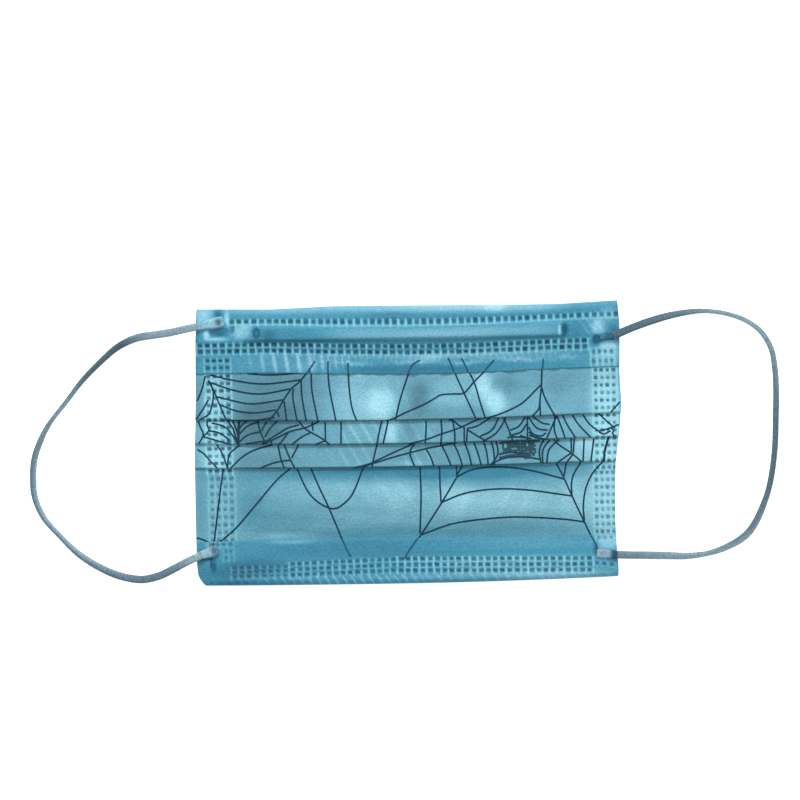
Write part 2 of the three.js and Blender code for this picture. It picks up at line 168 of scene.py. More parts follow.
def new_mesh(name, points, faces, smooth_faces=True):
    mesh = bpy.data.meshes.new(name)
    mesh.from_pydata((np.asarray(points, float).reshape(-1, 3) * MM).tolist(), [], faces)
    mesh.update()
    if smooth_faces:
        mesh.shade_smooth()
    else:
        mesh.shade_flat()
    piece = bpy.data.objects.new(name, mesh)
    bpy.context.scene.collection.objects.link(piece)
    return piece


def grid_faces(rows, columns, close_rows=False):
    """Faces of a grid stored row after row; closed rows join the last row to the first."""
    faces = []
    for i in range(rows if close_rows else rows - 1):
        below = ((i + 1) % rows) * columns
        for j in range(columns - 1):
            a = i * columns + j
            b = below + j
            faces.append((a, b, b + 1, a + 1))
    return faces


def sheet_faces(rows, columns):
    """Faces of a closed sheet: its front rows, its back rows in turn, and both side edges."""
    faces = grid_faces(2 * rows, columns, close_rows=True)
    for i in range(rows - 1):
        front, back = i * columns, (2 * rows - 1 - i) * columns
        corners = (front + columns, front, back, back - columns)
        faces.append(corners)
        faces.append(tuple(k + columns - 1 for k in reversed(corners)))
    return faces


def color_points(piece, colors):
    layer = piece.data.color_attributes.new("cloth_color", "FLOAT_COLOR", "POINT")
    rgba = np.ones((len(piece.data.vertices), 4), np.float32)
    rgba[:, :3] = np.asarray(colors, np.float32).reshape(-1, 3)
    layer.data.foreach_set("color", rgba.ravel())
    piece.data.color_attributes.active_color = layer


print("faces of a closed sheet of 2 by 3 points", len(sheet_faces(2, 3)))

# %% [markdown]
# Spunbond cloth is a felt of fine plastic threads: matt, a little mottled and pressed with
# tiny bond points. The threads could be modelled as hair, but that is far too heavy here.
# So the colour comes from the points of the mesh, where formulas can place dots and tones,
# noise mottles it, and a bump stands for the threads.

# %% Materials


def cloth_material(name, roughness, mottle, bump_height, grain, color=None):
    """Cloth in one color, or coloured by its points. Noise of scale grain mottles it."""
    material, shader = principled(name, (0.4, 0.6, 0.7), roughness)
    nodes, links = material.node_tree.nodes, material.node_tree.links
    shader.inputs["Specular IOR Level"].default_value = 0.15
    shader.inputs["Sheen Weight"].default_value = 0.05
    place = nodes.new("ShaderNodeTexCoord")
    noise = nodes.new("ShaderNodeTexNoise")
    noise.inputs["Scale"].default_value = grain
    noise.inputs["Detail"].default_value = 3.0
    level = nodes.new("ShaderNodeMapRange")
    level.inputs["From Min"].default_value = 0.3
    level.inputs["From Max"].default_value = 0.7
    level.inputs["To Min"].default_value = 1.0 - mottle
    level.inputs["To Max"].default_value = 1.0 + mottle
    tint = nodes.new("ShaderNodeVectorMath")
    tint.operation = "SCALE"
    bump = nodes.new("ShaderNodeBump")
    bump.inputs["Distance"].default_value = bump_height * MM
    links.new(place.outputs["Object"], noise.inputs["Vector"])
    links.new(noise.outputs["Fac"], level.inputs["Value"])
    if color is None:
        own = nodes.new("ShaderNodeAttribute")
        own.attribute_name = "cloth_color"
        links.new(own.outputs["Color"], tint.inputs[0])
    else:
        tint.inputs[0].default_value = color
    links.new(level.outputs["Result"], tint.inputs["Scale"])
    links.new(tint.outputs["Vector"], shader.inputs["Base Color"])
    links.new(noise.outputs["Fac"], bump.inputs["Height"])
    links.new(bump.outputs["Normal"], shader.inputs["Normal"])
    return material


INNER_WHITE = paint(228, 236, 238) * 0.8
front_cloth = cloth_material("printed_cloth", 0.7, 0.15, 0.3, 1500.0)
hem_cloth = cloth_material("hem_cloth", 0.6, 0.14, 0.3, 1300.0)
knit = cloth_material("knitted_elastic", 0.85, 0.32, 0.2, 1900.0)
inner_cloth = cloth_material("inner_cloth", 0.8, 0.06, 0.2, 1500.0, INNER_WHITE)
ink = cloth_material("web_ink", 0.9, 0.3, 0.1, 1500.0, paint(16, 60, 80) / LIGHT_LEVEL)
hub_ink = cloth_material("web_ink_hub", 0.9, 0.2, 0.1, 1500.0, paint(44, 80, 94) / LIGHT_LEVEL)
dim_ink = cloth_material("web_ink_under_hem", 0.9, 0.2, 0.1, 1500.0,
                         paint(30, 92, 116) / LIGHT_LEVEL)
wire_cover = cloth_material("wire_cover", 0.45, 0.08, 0.03, 700.0, paint(86, 150, 176) / LIGHT_LEVEL)
print("materials", len(bpy.data.materials))

# %% [markdown]
# The elastics are knitted bands, welded down at their ends and free between. A rope that is
# simulated would find a lie of its own, but these have to lie as the real ones do. So each
# follows a smooth line through given points, from the nose edge to the chin edge.

# %% Routes of the elastics
ELASTIC_STEP = 0.45
CURVE_STEPS = 16  # between two given points, before even steps are taken
LEFT_LOOP_ROUTE = [
    (-71.6, 41.9, 4.6), (-75, 41.3, 4.2), (-80.5, 40.3, 2), (-86.5, 39.5, 0.8),
    (-93, 38.5, 0.7), (-99.5, 35.5, 0.7), (-105.5, 30.5, 0.7), (-112, 24, 0.7),
    (-117.5, 17, 0.7), (-123.5, 9.5, 0.7), (-127, 3, 0.7), (-129, -3, 0.7),
    (-129.5, -9.5, 0.7), (-129, -16, 0.7), (-126, -23, 0.7), (-120.5, -29.5, 0.7),
    (-114.5, -35.5, 0.7), (-108, -40, 0.7), (-100.5, -43.5, 0.7), (-93, -45, 0.7),
    (-87, -44, 0.9), (-82, -41.8, 2), (-76.5, -39, 4.1), (-71.6, -36.8, 4.6),
]
RIGHT_LOOP_ROUTE = [
    (71.6, 36.2, 4.6), (75, 37.5, 4.3), (79.5, 39.3, 2.8), (84.5, 41, 1.1),
    (91, 42.8, 0.7), (98, 44, 0.7), (104, 44.3, 0.7), (111, 43.3, 0.7),
    (117.5, 41, 0.7), (123, 37, 0.7), (126.5, 31, 0.7), (127.7, 24, 0.7),
    (128, 16, 0.7), (127.7, 7, 0.7), (127.3, -2, 0.7), (126.3, -10.5, 0.7),
    (124.7, -18, 0.7), (122.3, -24.5, 0.7), (119.5, -30, 0.7), (116, -34, 0.7),
    (110.5, -37.2, 0.7), (104, -39.4, 0.7), (96.5, -40.3, 0.7), (88, -40, 0.7),
    (81.5, -39.7, 1.9), (77, -39.5, 4), (71.6, -39.2, 4.6),
]


def curve_through(points, step):
    """Points at even steps on a smooth line through the given ones."""
    p = np.asarray(points, float)
    if len(p) > 2:
        ends = [2 * p[0] - p[1], *p, 2 * p[-1] - p[-2]]
        fine = []
        for a, b, c, d in zip(ends, ends[1:], ends[2:], ends[3:]):
            for t in np.linspace(0, 1, CURVE_STEPS, endpoint=False):
                fine.append(0.5 * (2 * b + (c - a) * t + (2 * a - 5 * b + 4 * c - d) * t**2
                                   + (3 * b - a - 3 * c + d) * t**3))
        p = np.array([*fine, p[-1]])
    along = np.r_[0, np.cumsum(np.linalg.norm(np.diff(p, axis=0), axis=1))]
    count = max(2, round(along[-1] / step) + 1)
    even = np.linspace(0, along[-1], count)
    return np.column_stack([np.interp(even, along, p[:, k]) for k in range(p.shape[1])])


loop_lines = {"ear_loop_left": curve_through(LEFT_LOOP_ROUTE, ELASTIC_STEP),
              "ear_loop_right": curve_through(RIGHT_LOOP_ROUTE, ELASTIC_STEP)}
print("steps along the elastics", [len(line) for line in loop_lines.values()])

# %% [markdown]
# A band rolls a little as it goes, so it shows its broad side in one place and its edge in
# another. Light catches it here and not there. A twist set by a physical rule would be
# another way, but short tables of rolls and tones are easier to match.
# The tones are painted light and shade: the band is painted lighter where light catches it and darker
# where it lies in shade.

# %% Rolls and tones of the elastics
# Roll of the band in degrees at shares of its length: 0 is flat and 90 on edge.
ROLLS = {
    "ear_loop_left": [(0.0, 15), (0.12, 20), (0.2, 52), (0.33, 74), (0.38, 78), (0.44, 56),
                      (0.52, 50), (0.6, 58), (0.66, 66), (0.71, 52), (0.83, 22), (1.0, 15)],
    "ear_loop_right": [(0.0, 15), (0.1, 32), (0.2, 76), (0.28, 70), (0.36, 58), (0.45, 50),
                       (0.55, 54), (0.64, 54), (0.73, 30), (0.82, 62), (0.9, 26), (1.0, 20)],
}
# Painted light and shade of the band at shares of its length: -1 is painted shade and 1 a
# painted highlight. The last number is how much lighter the side towards the mask is painted.
BAND_PAINTED_SHADING = {
    "ear_loop_left": [(0.0, 0.6, 0.0), (0.1, 0.4, 0.0), (0.14, 0.1, 0.0), (0.17, -0.7, 0.0),
                      (0.27, -0.4, 0.2), (0.31, 0.15, 0.6), (0.36, 0.3, 0.6), (0.45, 0.1, 0.3),
                      (0.5, 0.0, 0.9), (0.6, 0.3, 0.7), (0.7, 0.3, 0.8), (0.8, 0.0, 0.5),
                      (0.88, -0.2, 0.0), (0.94, 0.1, 0.1), (1.0, 0.75, 0.0)],
    "ear_loop_right": [(0.0, -0.6, 0.0), (0.08, -0.4, 0.0), (0.15, -0.1, 0.2), (0.2, 0.3, 0.2),
                       (0.28, 0.45, 0.1), (0.35, 0.3, -0.3), (0.42, 0.1, -0.6), (0.5, -0.35, -0.2),
                       (0.6, -0.45, -0.2), (0.68, 0.05, -0.8), (0.75, 0.3, -0.7), (0.82, 0.65, -0.3),
                       (0.9, 0.45, 0.0), (1.0, 0.15, 0.0)],
}
# Colours of the band's painted shade, its own colour and its painted highlight.
BAND_PAINTED_SHADE = paint(60, 88, 104)
BAND_MIDDLE = paint(106, 134, 148)
BAND_PAINTED_HIGHLIGHT = paint(172, 202, 214)
print("rolls", {node: len(rows) for node, rows in ROLLS.items()})

# %% [markdown]
# The band itself is a flat knitted tube. A curve with a bevel could draw it, but the rows
# of stitches need points of their own. So a ring of points goes along the line, swells a
# little at each stitch and takes its colour from the tables.

# %% Knitted band
ELASTIC_WIDTH = 2.8
ELASTIC_THICKNESS = 1.25
ELASTIC_RING = 14  # points round the band
EDGE_ROUNDNESS = 0.7  # 1 is an oval section, and less is nearer to a box
ROLLED_RISE = 0.45  # a rolled band is crushed to this share of its height
KNIT_PITCH = 0.75
KNIT_SLANT = 2.2
KNIT_DEPTH = 0.05
# painted shade in the grooves between stitches and painted light on their swollen tops
KNIT_SHADE = 0.08
TABLE_GAP = 0.02


def band(name, line, rolls, painted_shading, width, thickness):
    """A flat knitted tube along a line, turned about it by the rolls."""
    shares = np.linspace(0, 1, len(line))
    roll = np.radians(np.interp(shares, *zip(*rolls)))
    at, tone, edge_tone = zip(*painted_shading)
    tone, edge_tone = np.interp(shares, at, tone), np.interp(shares, at, edge_tone)
    ahead = np.gradient(line, axis=0)
    ahead /= np.linalg.norm(ahead, axis=1)[:, None]
    side = np.cross(ahead, (0, 0, 1))
    side /= np.linalg.norm(side, axis=1)[:, None]
    up = np.cross(side, ahead)
    half_seen = width / 2 * np.cos(roll) + thickness / 2 * np.sin(roll)
    to_middle = line.mean(axis=0) - line
    to_middle /= np.linalg.norm(to_middle, axis=1)[:, None]
    inner_side = (side * to_middle).sum(axis=1)
    turn = np.linspace(0, 2 * math.pi, ELASTIC_RING, endpoint=False)
    flat = np.sign(np.cos(turn)) * np.abs(np.cos(turn)) ** EDGE_ROUNDNESS * width / 2
    thick = np.sign(np.sin(turn)) * np.abs(np.sin(turn)) ** EDGE_ROUNDNESS * thickness / 2
    along = np.arange(len(line)) * ELASTIC_STEP
    points = np.empty((ELASTIC_RING, len(line), 3))
    colors = np.empty_like(points)
    for k in range(ELASTIC_RING):
        stitch = np.sin(2 * math.pi * along / KNIT_PITCH + KNIT_SLANT * abs(flat[k]))
        swell = 1 + KNIT_DEPTH * stitch / thickness
        across = flat[k] * swell * np.cos(roll) - thick[k] * swell * np.sin(roll)
        rise = (flat[k] * ROLLED_RISE * np.sin(roll) + thick[k] * np.cos(roll)) * swell
        points[k] = line + side * across[:, None] + up * rise[:, None]
        points[k, :, 2] = np.maximum(points[k, :, 2], TABLE_GAP)
        # Each point gets the band's painted light and shade, lighter on the side towards the mask.
        inward = inner_side * across / half_seen
        t = np.clip(tone + edge_tone * inward, -1, 1)[:, None]
        shade = np.where(t < 0, mix(BAND_MIDDLE, BAND_PAINTED_SHADE, -t), mix(BAND_MIDDLE, BAND_PAINTED_HIGHLIGHT, t))
        colors[k] = shade * (1 + KNIT_SHADE * stitch[:, None]) / LIGHT_LEVEL
    faces = grid_faces(ELASTIC_RING, len(line), close_rows=True)
    starts = [k * len(line) for k in range(ELASTIC_RING)]
    faces += [starts, [k + len(line) - 1 for k in reversed(starts)]]
    piece = new_mesh(name, points, faces)
    color_points(piece, colors)
    piece.data.materials.append(knit)
    return piece


for node, line in loop_lines.items():
    loop = band(node.replace("ear_loop", "elastic"), line, ROLLS[node], BAND_PAINTED_SHADING[node],
                ELASTIC_WIDTH, ELASTIC_THICKNESS)
    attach(loop, "root")
    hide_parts(node)

# %% [markdown]
# The pleated panel is one sheet folded into three pleats, which open over the chin when the
# mask is worn. A cloth simulation could fold it, but the folds of a mask are pressed by a
# machine and keep their places. So the sizes are given here, and formulas fold the sheet.

# %% Sizes of the body
BODY_WIDTH = 146.0
BODY_HEIGHT = 96.0
CLOTH = 1.0
LOOSE_CLOTH = 0.7  # the drawn layers lie closer than the solid model's
LOOSE_GAP = 0.12
WELDED_CLOTH = 0.55
WELDED_PLY_GAP = 0.06
PIECE_GAP = 0.3
PLEAT_DEPTH = 6.5
LEFT_STRIP = 12.0
RIGHT_STRIP = 9.0
STRIP_RAMP = 8.0
HEM_CLOTH = 1.0
TOP_HEM_FRONT = 22.4
BOTTOM_HEM_FRONT = 15.6
HALF_WIDTH = BODY_WIDTH / 2
HALF_HEIGHT = BODY_HEIGHT / 2
SHEET_SEAT = HEM_CLOTH + PIECE_GAP + CLOTH / 2
HEM_TOP = 2 * SHEET_SEAT
TOP_HEM_EDGE = HALF_HEIGHT - TOP_HEM_FRONT
BOTTOM_HEM_EDGE = BOTTOM_HEM_FRONT - HALF_HEIGHT
print("cloth body", BODY_WIDTH, "by", BODY_HEIGHT, "mm")

# %% [markdown]
# The weld strips at the sides press the layers flat, and between them the cloth is loose
# and puffs up a little. A station says where a section stands: -1 is the left edge, 0 the
# middle and 1 the right edge. The edges wave, so a station's place also depends on y.

# %% Edges and puffs
CHIN_RISE = 1.2
LEFT_CHIN_SHARE = 0.4  # of the rise, which is less on the left
PUFF_HEIGHT = 1.6
# Side edges: height, reach to the left and to the right, as shares of the half sizes. They
# wave a little more than the solid model's.
SIDE_ROWS = [
    (1.0, 0.984, 1.006), (0.86, 0.988, 1.012), (0.72, 0.992, 1.013), (0.5, 0.995, 1.011),
    (0.28, 0.998, 1.018), (0.12, 1.001, 1.009), (0.0, 1.005, 0.999), (-0.14, 1.006, 0.987),
    (-0.35, 1.006, 0.98), (-0.56, 1.006, 0.979), (-0.8, 1.004, 0.983), (-0.88, 0.999, 0.987),
    (-0.92, 0.994, 0.988), (-0.95, 0.984, 0.988), (-0.975, 0.966, 0.986), (-0.99, 0.948, 0.984),
    (-1.0, 0.928, 0.981),
]
# Puffs: panel, middle, half width as shares of half the width, height as a share.
PUFFS = [
    (0, -0.55, 0.14, 0.35), (0, -0.1, 0.13, 0.75), (0, 0.36, 0.15, 1.0),
    (1, -0.5, 0.2, 0.25), (1, 0.1, 0.2, 0.5), (2, -0.15, 0.25, 0.3),
    (2, 0.5, 0.15, 0.35), (3, -0.45, 0.35, 0.6), (3, 0.3, 0.4, 0.9),
]


def across_at(station, y):
    ups, lefts, rights = np.array(SIDE_ROWS[::-1]).T
    left = np.interp(y / HALF_HEIGHT, ups, lefts)
    right = np.interp(y / HALF_HEIGHT, ups, rights)
    return station * HALF_WIDTH * np.where(np.asarray(station) < 0, left, right)


def chin_rise(station):
    """How far the chin edge bends up towards the sides, more on the right."""
    return CHIN_RISE * station**2 * np.where(np.asarray(station) < 0, LEFT_CHIN_SHARE, 1.0)


def looseness(station):
    x = station * HALF_WIDTH
    from_left = (x + HALF_WIDTH - LEFT_STRIP) / STRIP_RAMP
    from_right = (HALF_WIDTH - RIGHT_STRIP - x) / STRIP_RAMP
    return float(smooth(min(from_left, from_right)))


def puff(panel, station):
    rows = [r for r in PUFFS if r[0] == panel]
    height = sum(high * math.exp(-(((station - middle) / wide) ** 2))
                 for _, middle, wide, high in rows)
    return height * PUFF_HEIGHT * looseness(station)


print("width in the middle", round(float(across_at(1, 0) - across_at(-1, 0)), 1), "mm")

# %% [markdown]
# Now the folds of one section. A layer runs down to a fold edge, turns back under itself,
# and turns again to run down to the next. Each layer lies on the one below, so the slopes
# and heights follow from the thickness of the cloth.

# %% Fold edges
# From the nose down: place above the middle, and rise at the sides, as shares of the
# body's height.
PLEATS = [(0.086, 0.016), (0.0015, 0.014), (-0.0815, 0.0085)]
FOLD_SHARE = 0.5  # of a puff, which lifts the fold edge too


def fold_stack(station):
    """Thickness and pitch of the layers, and the three folds, at one station."""
    loose = looseness(station)
    cloth = mix(WELDED_CLOTH, LOOSE_CLOTH, loose)
    pitch = cloth + mix(WELDED_PLY_GAP, LOOSE_GAP, loose)
    edges = [BODY_HEIGHT * (edge + rise * station**2) for edge, rise in PLEATS]
    folds = []
    for i, edge in enumerate(edges):
        spacing = edges[0] - edges[1] if i == 0 else edges[i - 1] - edge
        angle = math.asin(2 * pitch / spacing)
        lean = pitch / 2 * math.sin(angle)
        turn_start = edge + (pitch + cloth) / 2 + lean
        pocket_start = edge + PLEAT_DEPTH - (pitch + cloth) / 2 + lean
        rest = pitch / math.cos(angle) + pitch / 2 * math.cos(angle) + (pitch + cloth) / 2
        climb = math.tan(angle) * (pocket_start - turn_start)
        height = rest + climb + FOLD_SHARE * puff(i, station)
        slope = math.tan(angle)
        if folds:
            slope = (height - folds[-1]["under"]) / (folds[-1]["edge"] - turn_start)
        layers = 2 * pitch * math.hypot(1, slope)
        under = height + slope * (turn_start - edge) - layers
        folds.append({"edge": edge, "turn": turn_start, "pocket": pocket_start,
                      "height": height, "slope": slope, "layers": layers, "under": under})
    return cloth, pitch, folds


print("fold heights in the middle", [round(fold["height"], 2) for fold in fold_stack(0)[2]])

# %% [markdown]
# Between the folds four panels show. Each is a function of y that gives the height of the
# sheet's middle, and the first and last ease down to where the hems hold the cloth flat.

# %% Visible panels


def ease_curve(share, length, start, start_slope, end, end_slope):
    t = min(1.0, max(0.0, share))
    return (start * (2 * t**3 - 3 * t**2 + 1) + start_slope * length * (t**3 - 2 * t**2 + t)
            + end * (3 * t**2 - 2 * t**3) + end_slope * length * (t**3 - t**2))


def panel_heights(station, folds):
    """Heights of the four visible panels at one station, as functions of y."""
    def climb(fold, y):
        return fold["height"] - fold["slope"] * (y - fold["turn"])

    first, _, third = folds
    ease_from = first["edge"] + PLEAT_DEPTH + CLOTH
    ease_to = TOP_HEM_EDGE - CLOTH / 2
    nose_swell = (1 - FOLD_SHARE) * puff(0, station)
    chin_to = BOTTOM_HEM_EDGE + CLOTH / 2
    chin_swell = puff(3, station)

    def nose(y):
        along = min(1.0, max(0.0, (y - first["turn"]) / (ease_to - first["turn"])))
        wave = nose_swell * math.sin(math.pi * along)
        if y < ease_from:
            return climb(first, y) + wave
        length = ease_to - ease_from
        share = (y - ease_from) / length
        start = climb(first, ease_from)
        return ease_curve(share, length, start, -first["slope"], SHEET_SEAT, 0) + wave

    def between(above, own):
        def height(y):
            if y >= above["edge"]:
                return climb(above, y) - above["layers"]
            return climb(own, y)
        return height

    def chin(y):
        if y >= third["edge"]:
            return climb(third, y) - third["layers"]
        length = third["edge"] - chin_to
        share = (third["edge"] - y) / length
        wave = chin_swell * math.sin(math.pi * min(1.0, share)) ** 1.5
        return ease_curve(share, length, third["under"], third["slope"], SHEET_SEAT, 0) + wave

    return [nose, between(folds[0], folds[1]), between(folds[1], folds[2]), chin]


chin_panel = panel_heights(0, fold_stack(0)[2])[3]
print("chin panel's height at y -20", round(chin_panel(-20), 2), "mm")

# %% [markdown]
# The whole middle line of a section runs down the first panel, round the folds and down to
# the chin. Rows are close where the cloth shows or turns, and far apart where it is hidden.

# %% Middle line of the sheet
NOSE_ROWS = 46
PLEAT_ROWS = 23
CHIN_ROWS = 66
HIDDEN_ROWS = 4
TURN_ROWS = 7
NOWHERE = -1  # label of rows that no one sees
HEM_LAP = 1.0  # how far the rows that show run on under a hem
FOLD_LAP = 0.7  # and under a fold edge
POCKET_START = 0.3  # share of a pleat's hidden layer that the turn's own rows cover


def sheet_line(station):
    """Middle line of the sheet as rows of (y, z, label); a label is the visible panel."""
    cloth, pitch, folds = fold_stack(station)
    heights = panel_heights(station, folds)
    line = []

    def run(height, start, end, steps, label):
        for i in range(steps):
            y = mix(start, end, i / steps)
            line.append((y, height(y), label))

    def turn(y, z, ahead, rise, label):
        low = (-abs(rise), -abs(ahead))
        centre = (y + pitch / 2 * low[0], z + pitch / 2 * low[1])
        for i in range(TURN_ROWS + 1):
            angle = math.pi * i / TURN_ROWS
            back, out = -math.cos(angle) * pitch / 2, math.sin(angle) * pitch / 2
            line.append((centre[0] + back * low[0] + out * ahead,
                         centre[1] + back * low[1] + out * rise, label))

    start = HALF_HEIGHT - SHEET_SEAT
    run(heights[0], start, TOP_HEM_EDGE + HEM_LAP, HIDDEN_ROWS, NOWHERE)
    start = TOP_HEM_EDGE + HEM_LAP
    for i, fold in enumerate(folds):
        steps = NOSE_ROWS if i == 0 else PLEAT_ROWS
        ahead = 1 / math.hypot(1, fold["slope"])
        rise = fold["slope"] * ahead
        run(heights[i], start, fold["turn"], steps, i)
        turn(fold["turn"], heights[i](fold["turn"]), -ahead, rise, i)
        y, z, _ = line[-1]
        pocket = z - fold["slope"] * (fold["pocket"] - y)
        run(lambda at: z - fold["slope"] * (at - y), mix(y, fold["pocket"], POCKET_START),
            fold["pocket"], HIDDEN_ROWS, NOWHERE)
        turn(fold["pocket"], pocket, ahead, -rise, NOWHERE)
        start = mix(line[-1][0], fold["edge"], 0.5)
        run(heights[i + 1], start, fold["edge"] + FOLD_LAP, 2, NOWHERE)
        start = fold["edge"] + FOLD_LAP
    run(heights[3], start, BOTTOM_HEM_EDGE - HEM_LAP, CHIN_ROWS, 3)
    end = -HALF_HEIGHT + SHEET_SEAT + float(chin_rise(station))
    run(heights[3], BOTTOM_HEM_EDGE - HEM_LAP, end, HIDDEN_ROWS, NOWHERE)
    line.append((end, heights[3](end), NOWHERE))
    return line, cloth


test_line, _ = sheet_line(0.0)
unfolded = sum(math.dist(a[:2], b[:2]) for a, b in zip(test_line, test_line[1:]))
print("rows of the sheet", len(test_line), "unfolded length", round(unfolded, 1), "mm")

# %% [markdown]
# Hot rollers weld the layers together in rows of small dots. Cutting each one with a boolean
# would be slow and break the sheet's grid. So short tables say where the rows run, and the
# next step presses the dots into the points of the sheets.

# %% Zones of weld dots
# Zones of dots: left and right end, the first row's height at both, number of rows, pitch
# across and down, dot size across and down, strength of the pits and of the ridges.
HEM_ZONES = [
    {"ends": (-60.9, 73.6), "at": (43.3, 43.6), "rows": 1, "pitch": (2.55, 2.1),
     "dot": (1.4, 1.35), "pit": 0.85, "ridge": 1.0},
    {"ends": (-72.0, 63.15), "at": (35.3, 34.9), "rows": 2, "pitch": (2.55, 2.05),
     "dot": (1.6, 1.3), "pit": 1.0, "ridge": 0.85},
    {"ends": (-69.4, -60.4), "at": (30.0, 30.0), "rows": 2, "pitch": (2.25, 2.5),
     "dot": (1.4, 1.1), "pit": 1.0, "ridge": 0.6},
    {"ends": (64.0, 72.24), "at": (30.9, 30.9), "rows": 2, "pitch": (2.06, 3.2),
     "dot": (1.0, 1.3), "pit": 0.75, "ridge": 0.9},
]
CHIN_ZONES = [
    {"ends": (-61.4, -41.4), "at": (-41.6, -41.4), "rows": 3, "pitch": (2.5, 1.5),
     "dot": (1.3, 0.85), "pit": 0.6, "ridge": 0.4},
    {"ends": (-41.4, -4.0), "at": (-40.6, -39.5), "rows": 3, "pitch": (2.49, 1.9),
     "dot": (1.45, 1.05), "pit": 0.75, "ridge": 0.7},
    {"ends": (-4.0, 63.5), "at": (-39.4, -40.4), "rows": 3, "pitch": (2.5, 2.0),
     "dot": (1.5, 1.15), "pit": 0.85, "ridge": 1.0},
    {"ends": (-69.4, -60.4), "at": (-33.4, -33.4), "rows": 1, "pitch": (2.25, 2.5),
     "dot": (1.3, 1.0), "pit": 0.5, "ridge": 0.35},
    {"ends": (-64.0, -60.4), "at": (-35.9, -35.9), "rows": 2, "pitch": (1.8, 2.1),
     "dot": (1.0, 1.0), "pit": 0.4, "ridge": 0.3},
    {"ends": (63.5, 73.0), "at": (-41.9, -42.9), "rows": 1, "pitch": (2.6, 2.1),
     "dot": (1.0, 0.9), "pit": 0.8, "ridge": 0.3},
    {"ends": (64.6, 71.2), "at": (-33.4, -33.4), "rows": 1, "pitch": (2.2, 2.5),
     "dot": (1.1, 1.0), "pit": 0.5, "ridge": 0.7},
]
PANEL_ZONES = [
    {"ends": (-69.3, -60.3), "at": (24.6, 24.6), "rows": 14, "pitch": (2.25, 2.5),
     "dot": (1.35, 1.1), "pit": 0.95, "ridge": 0.8},
    {"ends": (-68.7, -59.7), "at": (-10.8, -10.8), "rows": 9, "pitch": (2.25, 2.65),
     "dot": (1.3, 1.1), "pit": 0.6, "ridge": 0.4},
    {"ends": (64.6, 72.84), "at": (24.4, 24.4), "rows": 14, "pitch": (2.06, 2.59),
     "dot": (1.15, 1.1), "pit": 0.9, "ridge": 0.9},
    {"ends": (64.2, 72.0), "at": (-10.9, -10.9), "rows": 9, "pitch": (1.95, 2.55),
     "dot": (1.15, 1.2), "pit": 0.75, "ridge": 0.7},
]
print("zones of weld dots", len(HEM_ZONES) + len(CHIN_ZONES) + len(PANEL_ZONES))

# %% [markdown]
# A dot is a flat-bottomed pit, dark where the threads melt and with painted shade in the
# hollow, with a raised ridge beside and below it that is painted pale as a highlight. One
# formula gives both the shape and the colour, so they always agree. Slow waves from dot to
# dot vary their places and sizes, as on a worn roller.

# %% Weld dots
PIT_DEPTH = 0.38
RIDGE_HEIGHT = 0.1
DOT_SOFTNESS = 0.5
UNEVEN = 0.13  # how far a dot's place and size vary
PLACE_WAVES = (5.3, 3.1)  # radians from column to column and from row to row
SIZE_WAVES = (2.7, -4.9)
RIDGE_SPREAD = 0.62
RIDGE_DROP = 0.3  # the ridges sit this much lower than their dots
RIDGE_SOFTNESS = 0.35
BELOW_SHARE = 0.5  # how strong the ridge below a dot is, against those beside it
BELOW_EXTRA = 0.2  # how far it runs past the middle between two dots
BELOW_SOFTNESS = 0.3
LAST_RIDGE = 0.25  # how much of that ridge shows under the last of several rows


def weld_dots(x, y, zones):
    """Depth of the pits and height of the ridges, both from 0 to 1, at the points."""
    pits = np.zeros_like(x)
    ridges = np.zeros_like(x)
    for zone in zones:
        across, down = zone["pitch"]
        left, right = zone["ends"]
        columns = round((right - left) / across)
        first = mix(*zone["at"], np.clip((x - left) / (right - left), 0, 1))
        column = np.clip(np.round((x - left) / across - 0.5), 0, columns - 1)
        row = np.clip(np.round((first - y) / down), 0, zone["rows"] - 1)
        shift = np.sin(PLACE_WAVES[0] * column + PLACE_WAVES[1] * row)
        growth = 1 + UNEVEN * np.sin(SIZE_WAVES[0] * column + SIZE_WAVES[1] * row)
        off_x = np.abs(x - left - (column + 0.5) * across - UNEVEN * shift)
        off_y = first - row * down - y
        wide, high = (size * growth for size in zone["dot"])
        pit = (smooth(0.5 + (wide / 2 - off_x) / DOT_SOFTNESS)
               * smooth(0.5 + (high / 2 - np.abs(off_y)) / DOT_SOFTNESS))
        beside = smooth(1 - np.abs(off_x - across / 2) / RIDGE_SPREAD)
        reach = down / 2 + RIDGE_DROP - np.abs(off_y - RIDGE_DROP)
        beside *= smooth(reach / RIDGE_SOFTNESS)
        below = smooth(1 - np.abs(off_y - down / 2) / RIDGE_SPREAD)
        below *= smooth((across / 2 + BELOW_EXTRA - off_x) / BELOW_SOFTNESS) * BELOW_SHARE
        if zone["rows"] > 1:
            below = np.where(row < zone["rows"] - 1, below, below * LAST_RIDGE)
        pits = np.maximum(pits, pit * zone["pit"] * (1 - UNEVEN * (1 + shift)))
        ridges = np.maximum(ridges, np.maximum(beside, below) * (1 - pit) * zone["ridge"])
    return pits, ridges


test_pits, _ = weld_dots(np.linspace(-69, -60, 91), np.full(91, 24.6), PANEL_ZONES)
print("dots in a row of the left strip", int((np.diff(test_pits > 0.4) > 0).sum() / 2))

# %% [markdown]
# Thin cloth takes some of its colour from what lies under it: darker where a second ply shows
# through. The rest is painted light and shade: painted highlights where the sheet bulges to
# the light, and painted shade along a fold. A painted picture could hold all this, but colours
# by formula stay sharp and follow the shape.

# %% Colours of the cloth
# The dark end of the tones: painted shade, and the greyer tint where a second ply shows through.
SHADE = paint(78, 124, 140) / LIGHT_LEVEL
CHIN_SHADE = paint(58, 136, 163) / LIGHT_LEVEL  # painted shade on the panel at the chin, bluer than elsewhere, as under the lowest fold
BASE = paint(112, 176, 198) / LIGHT_LEVEL
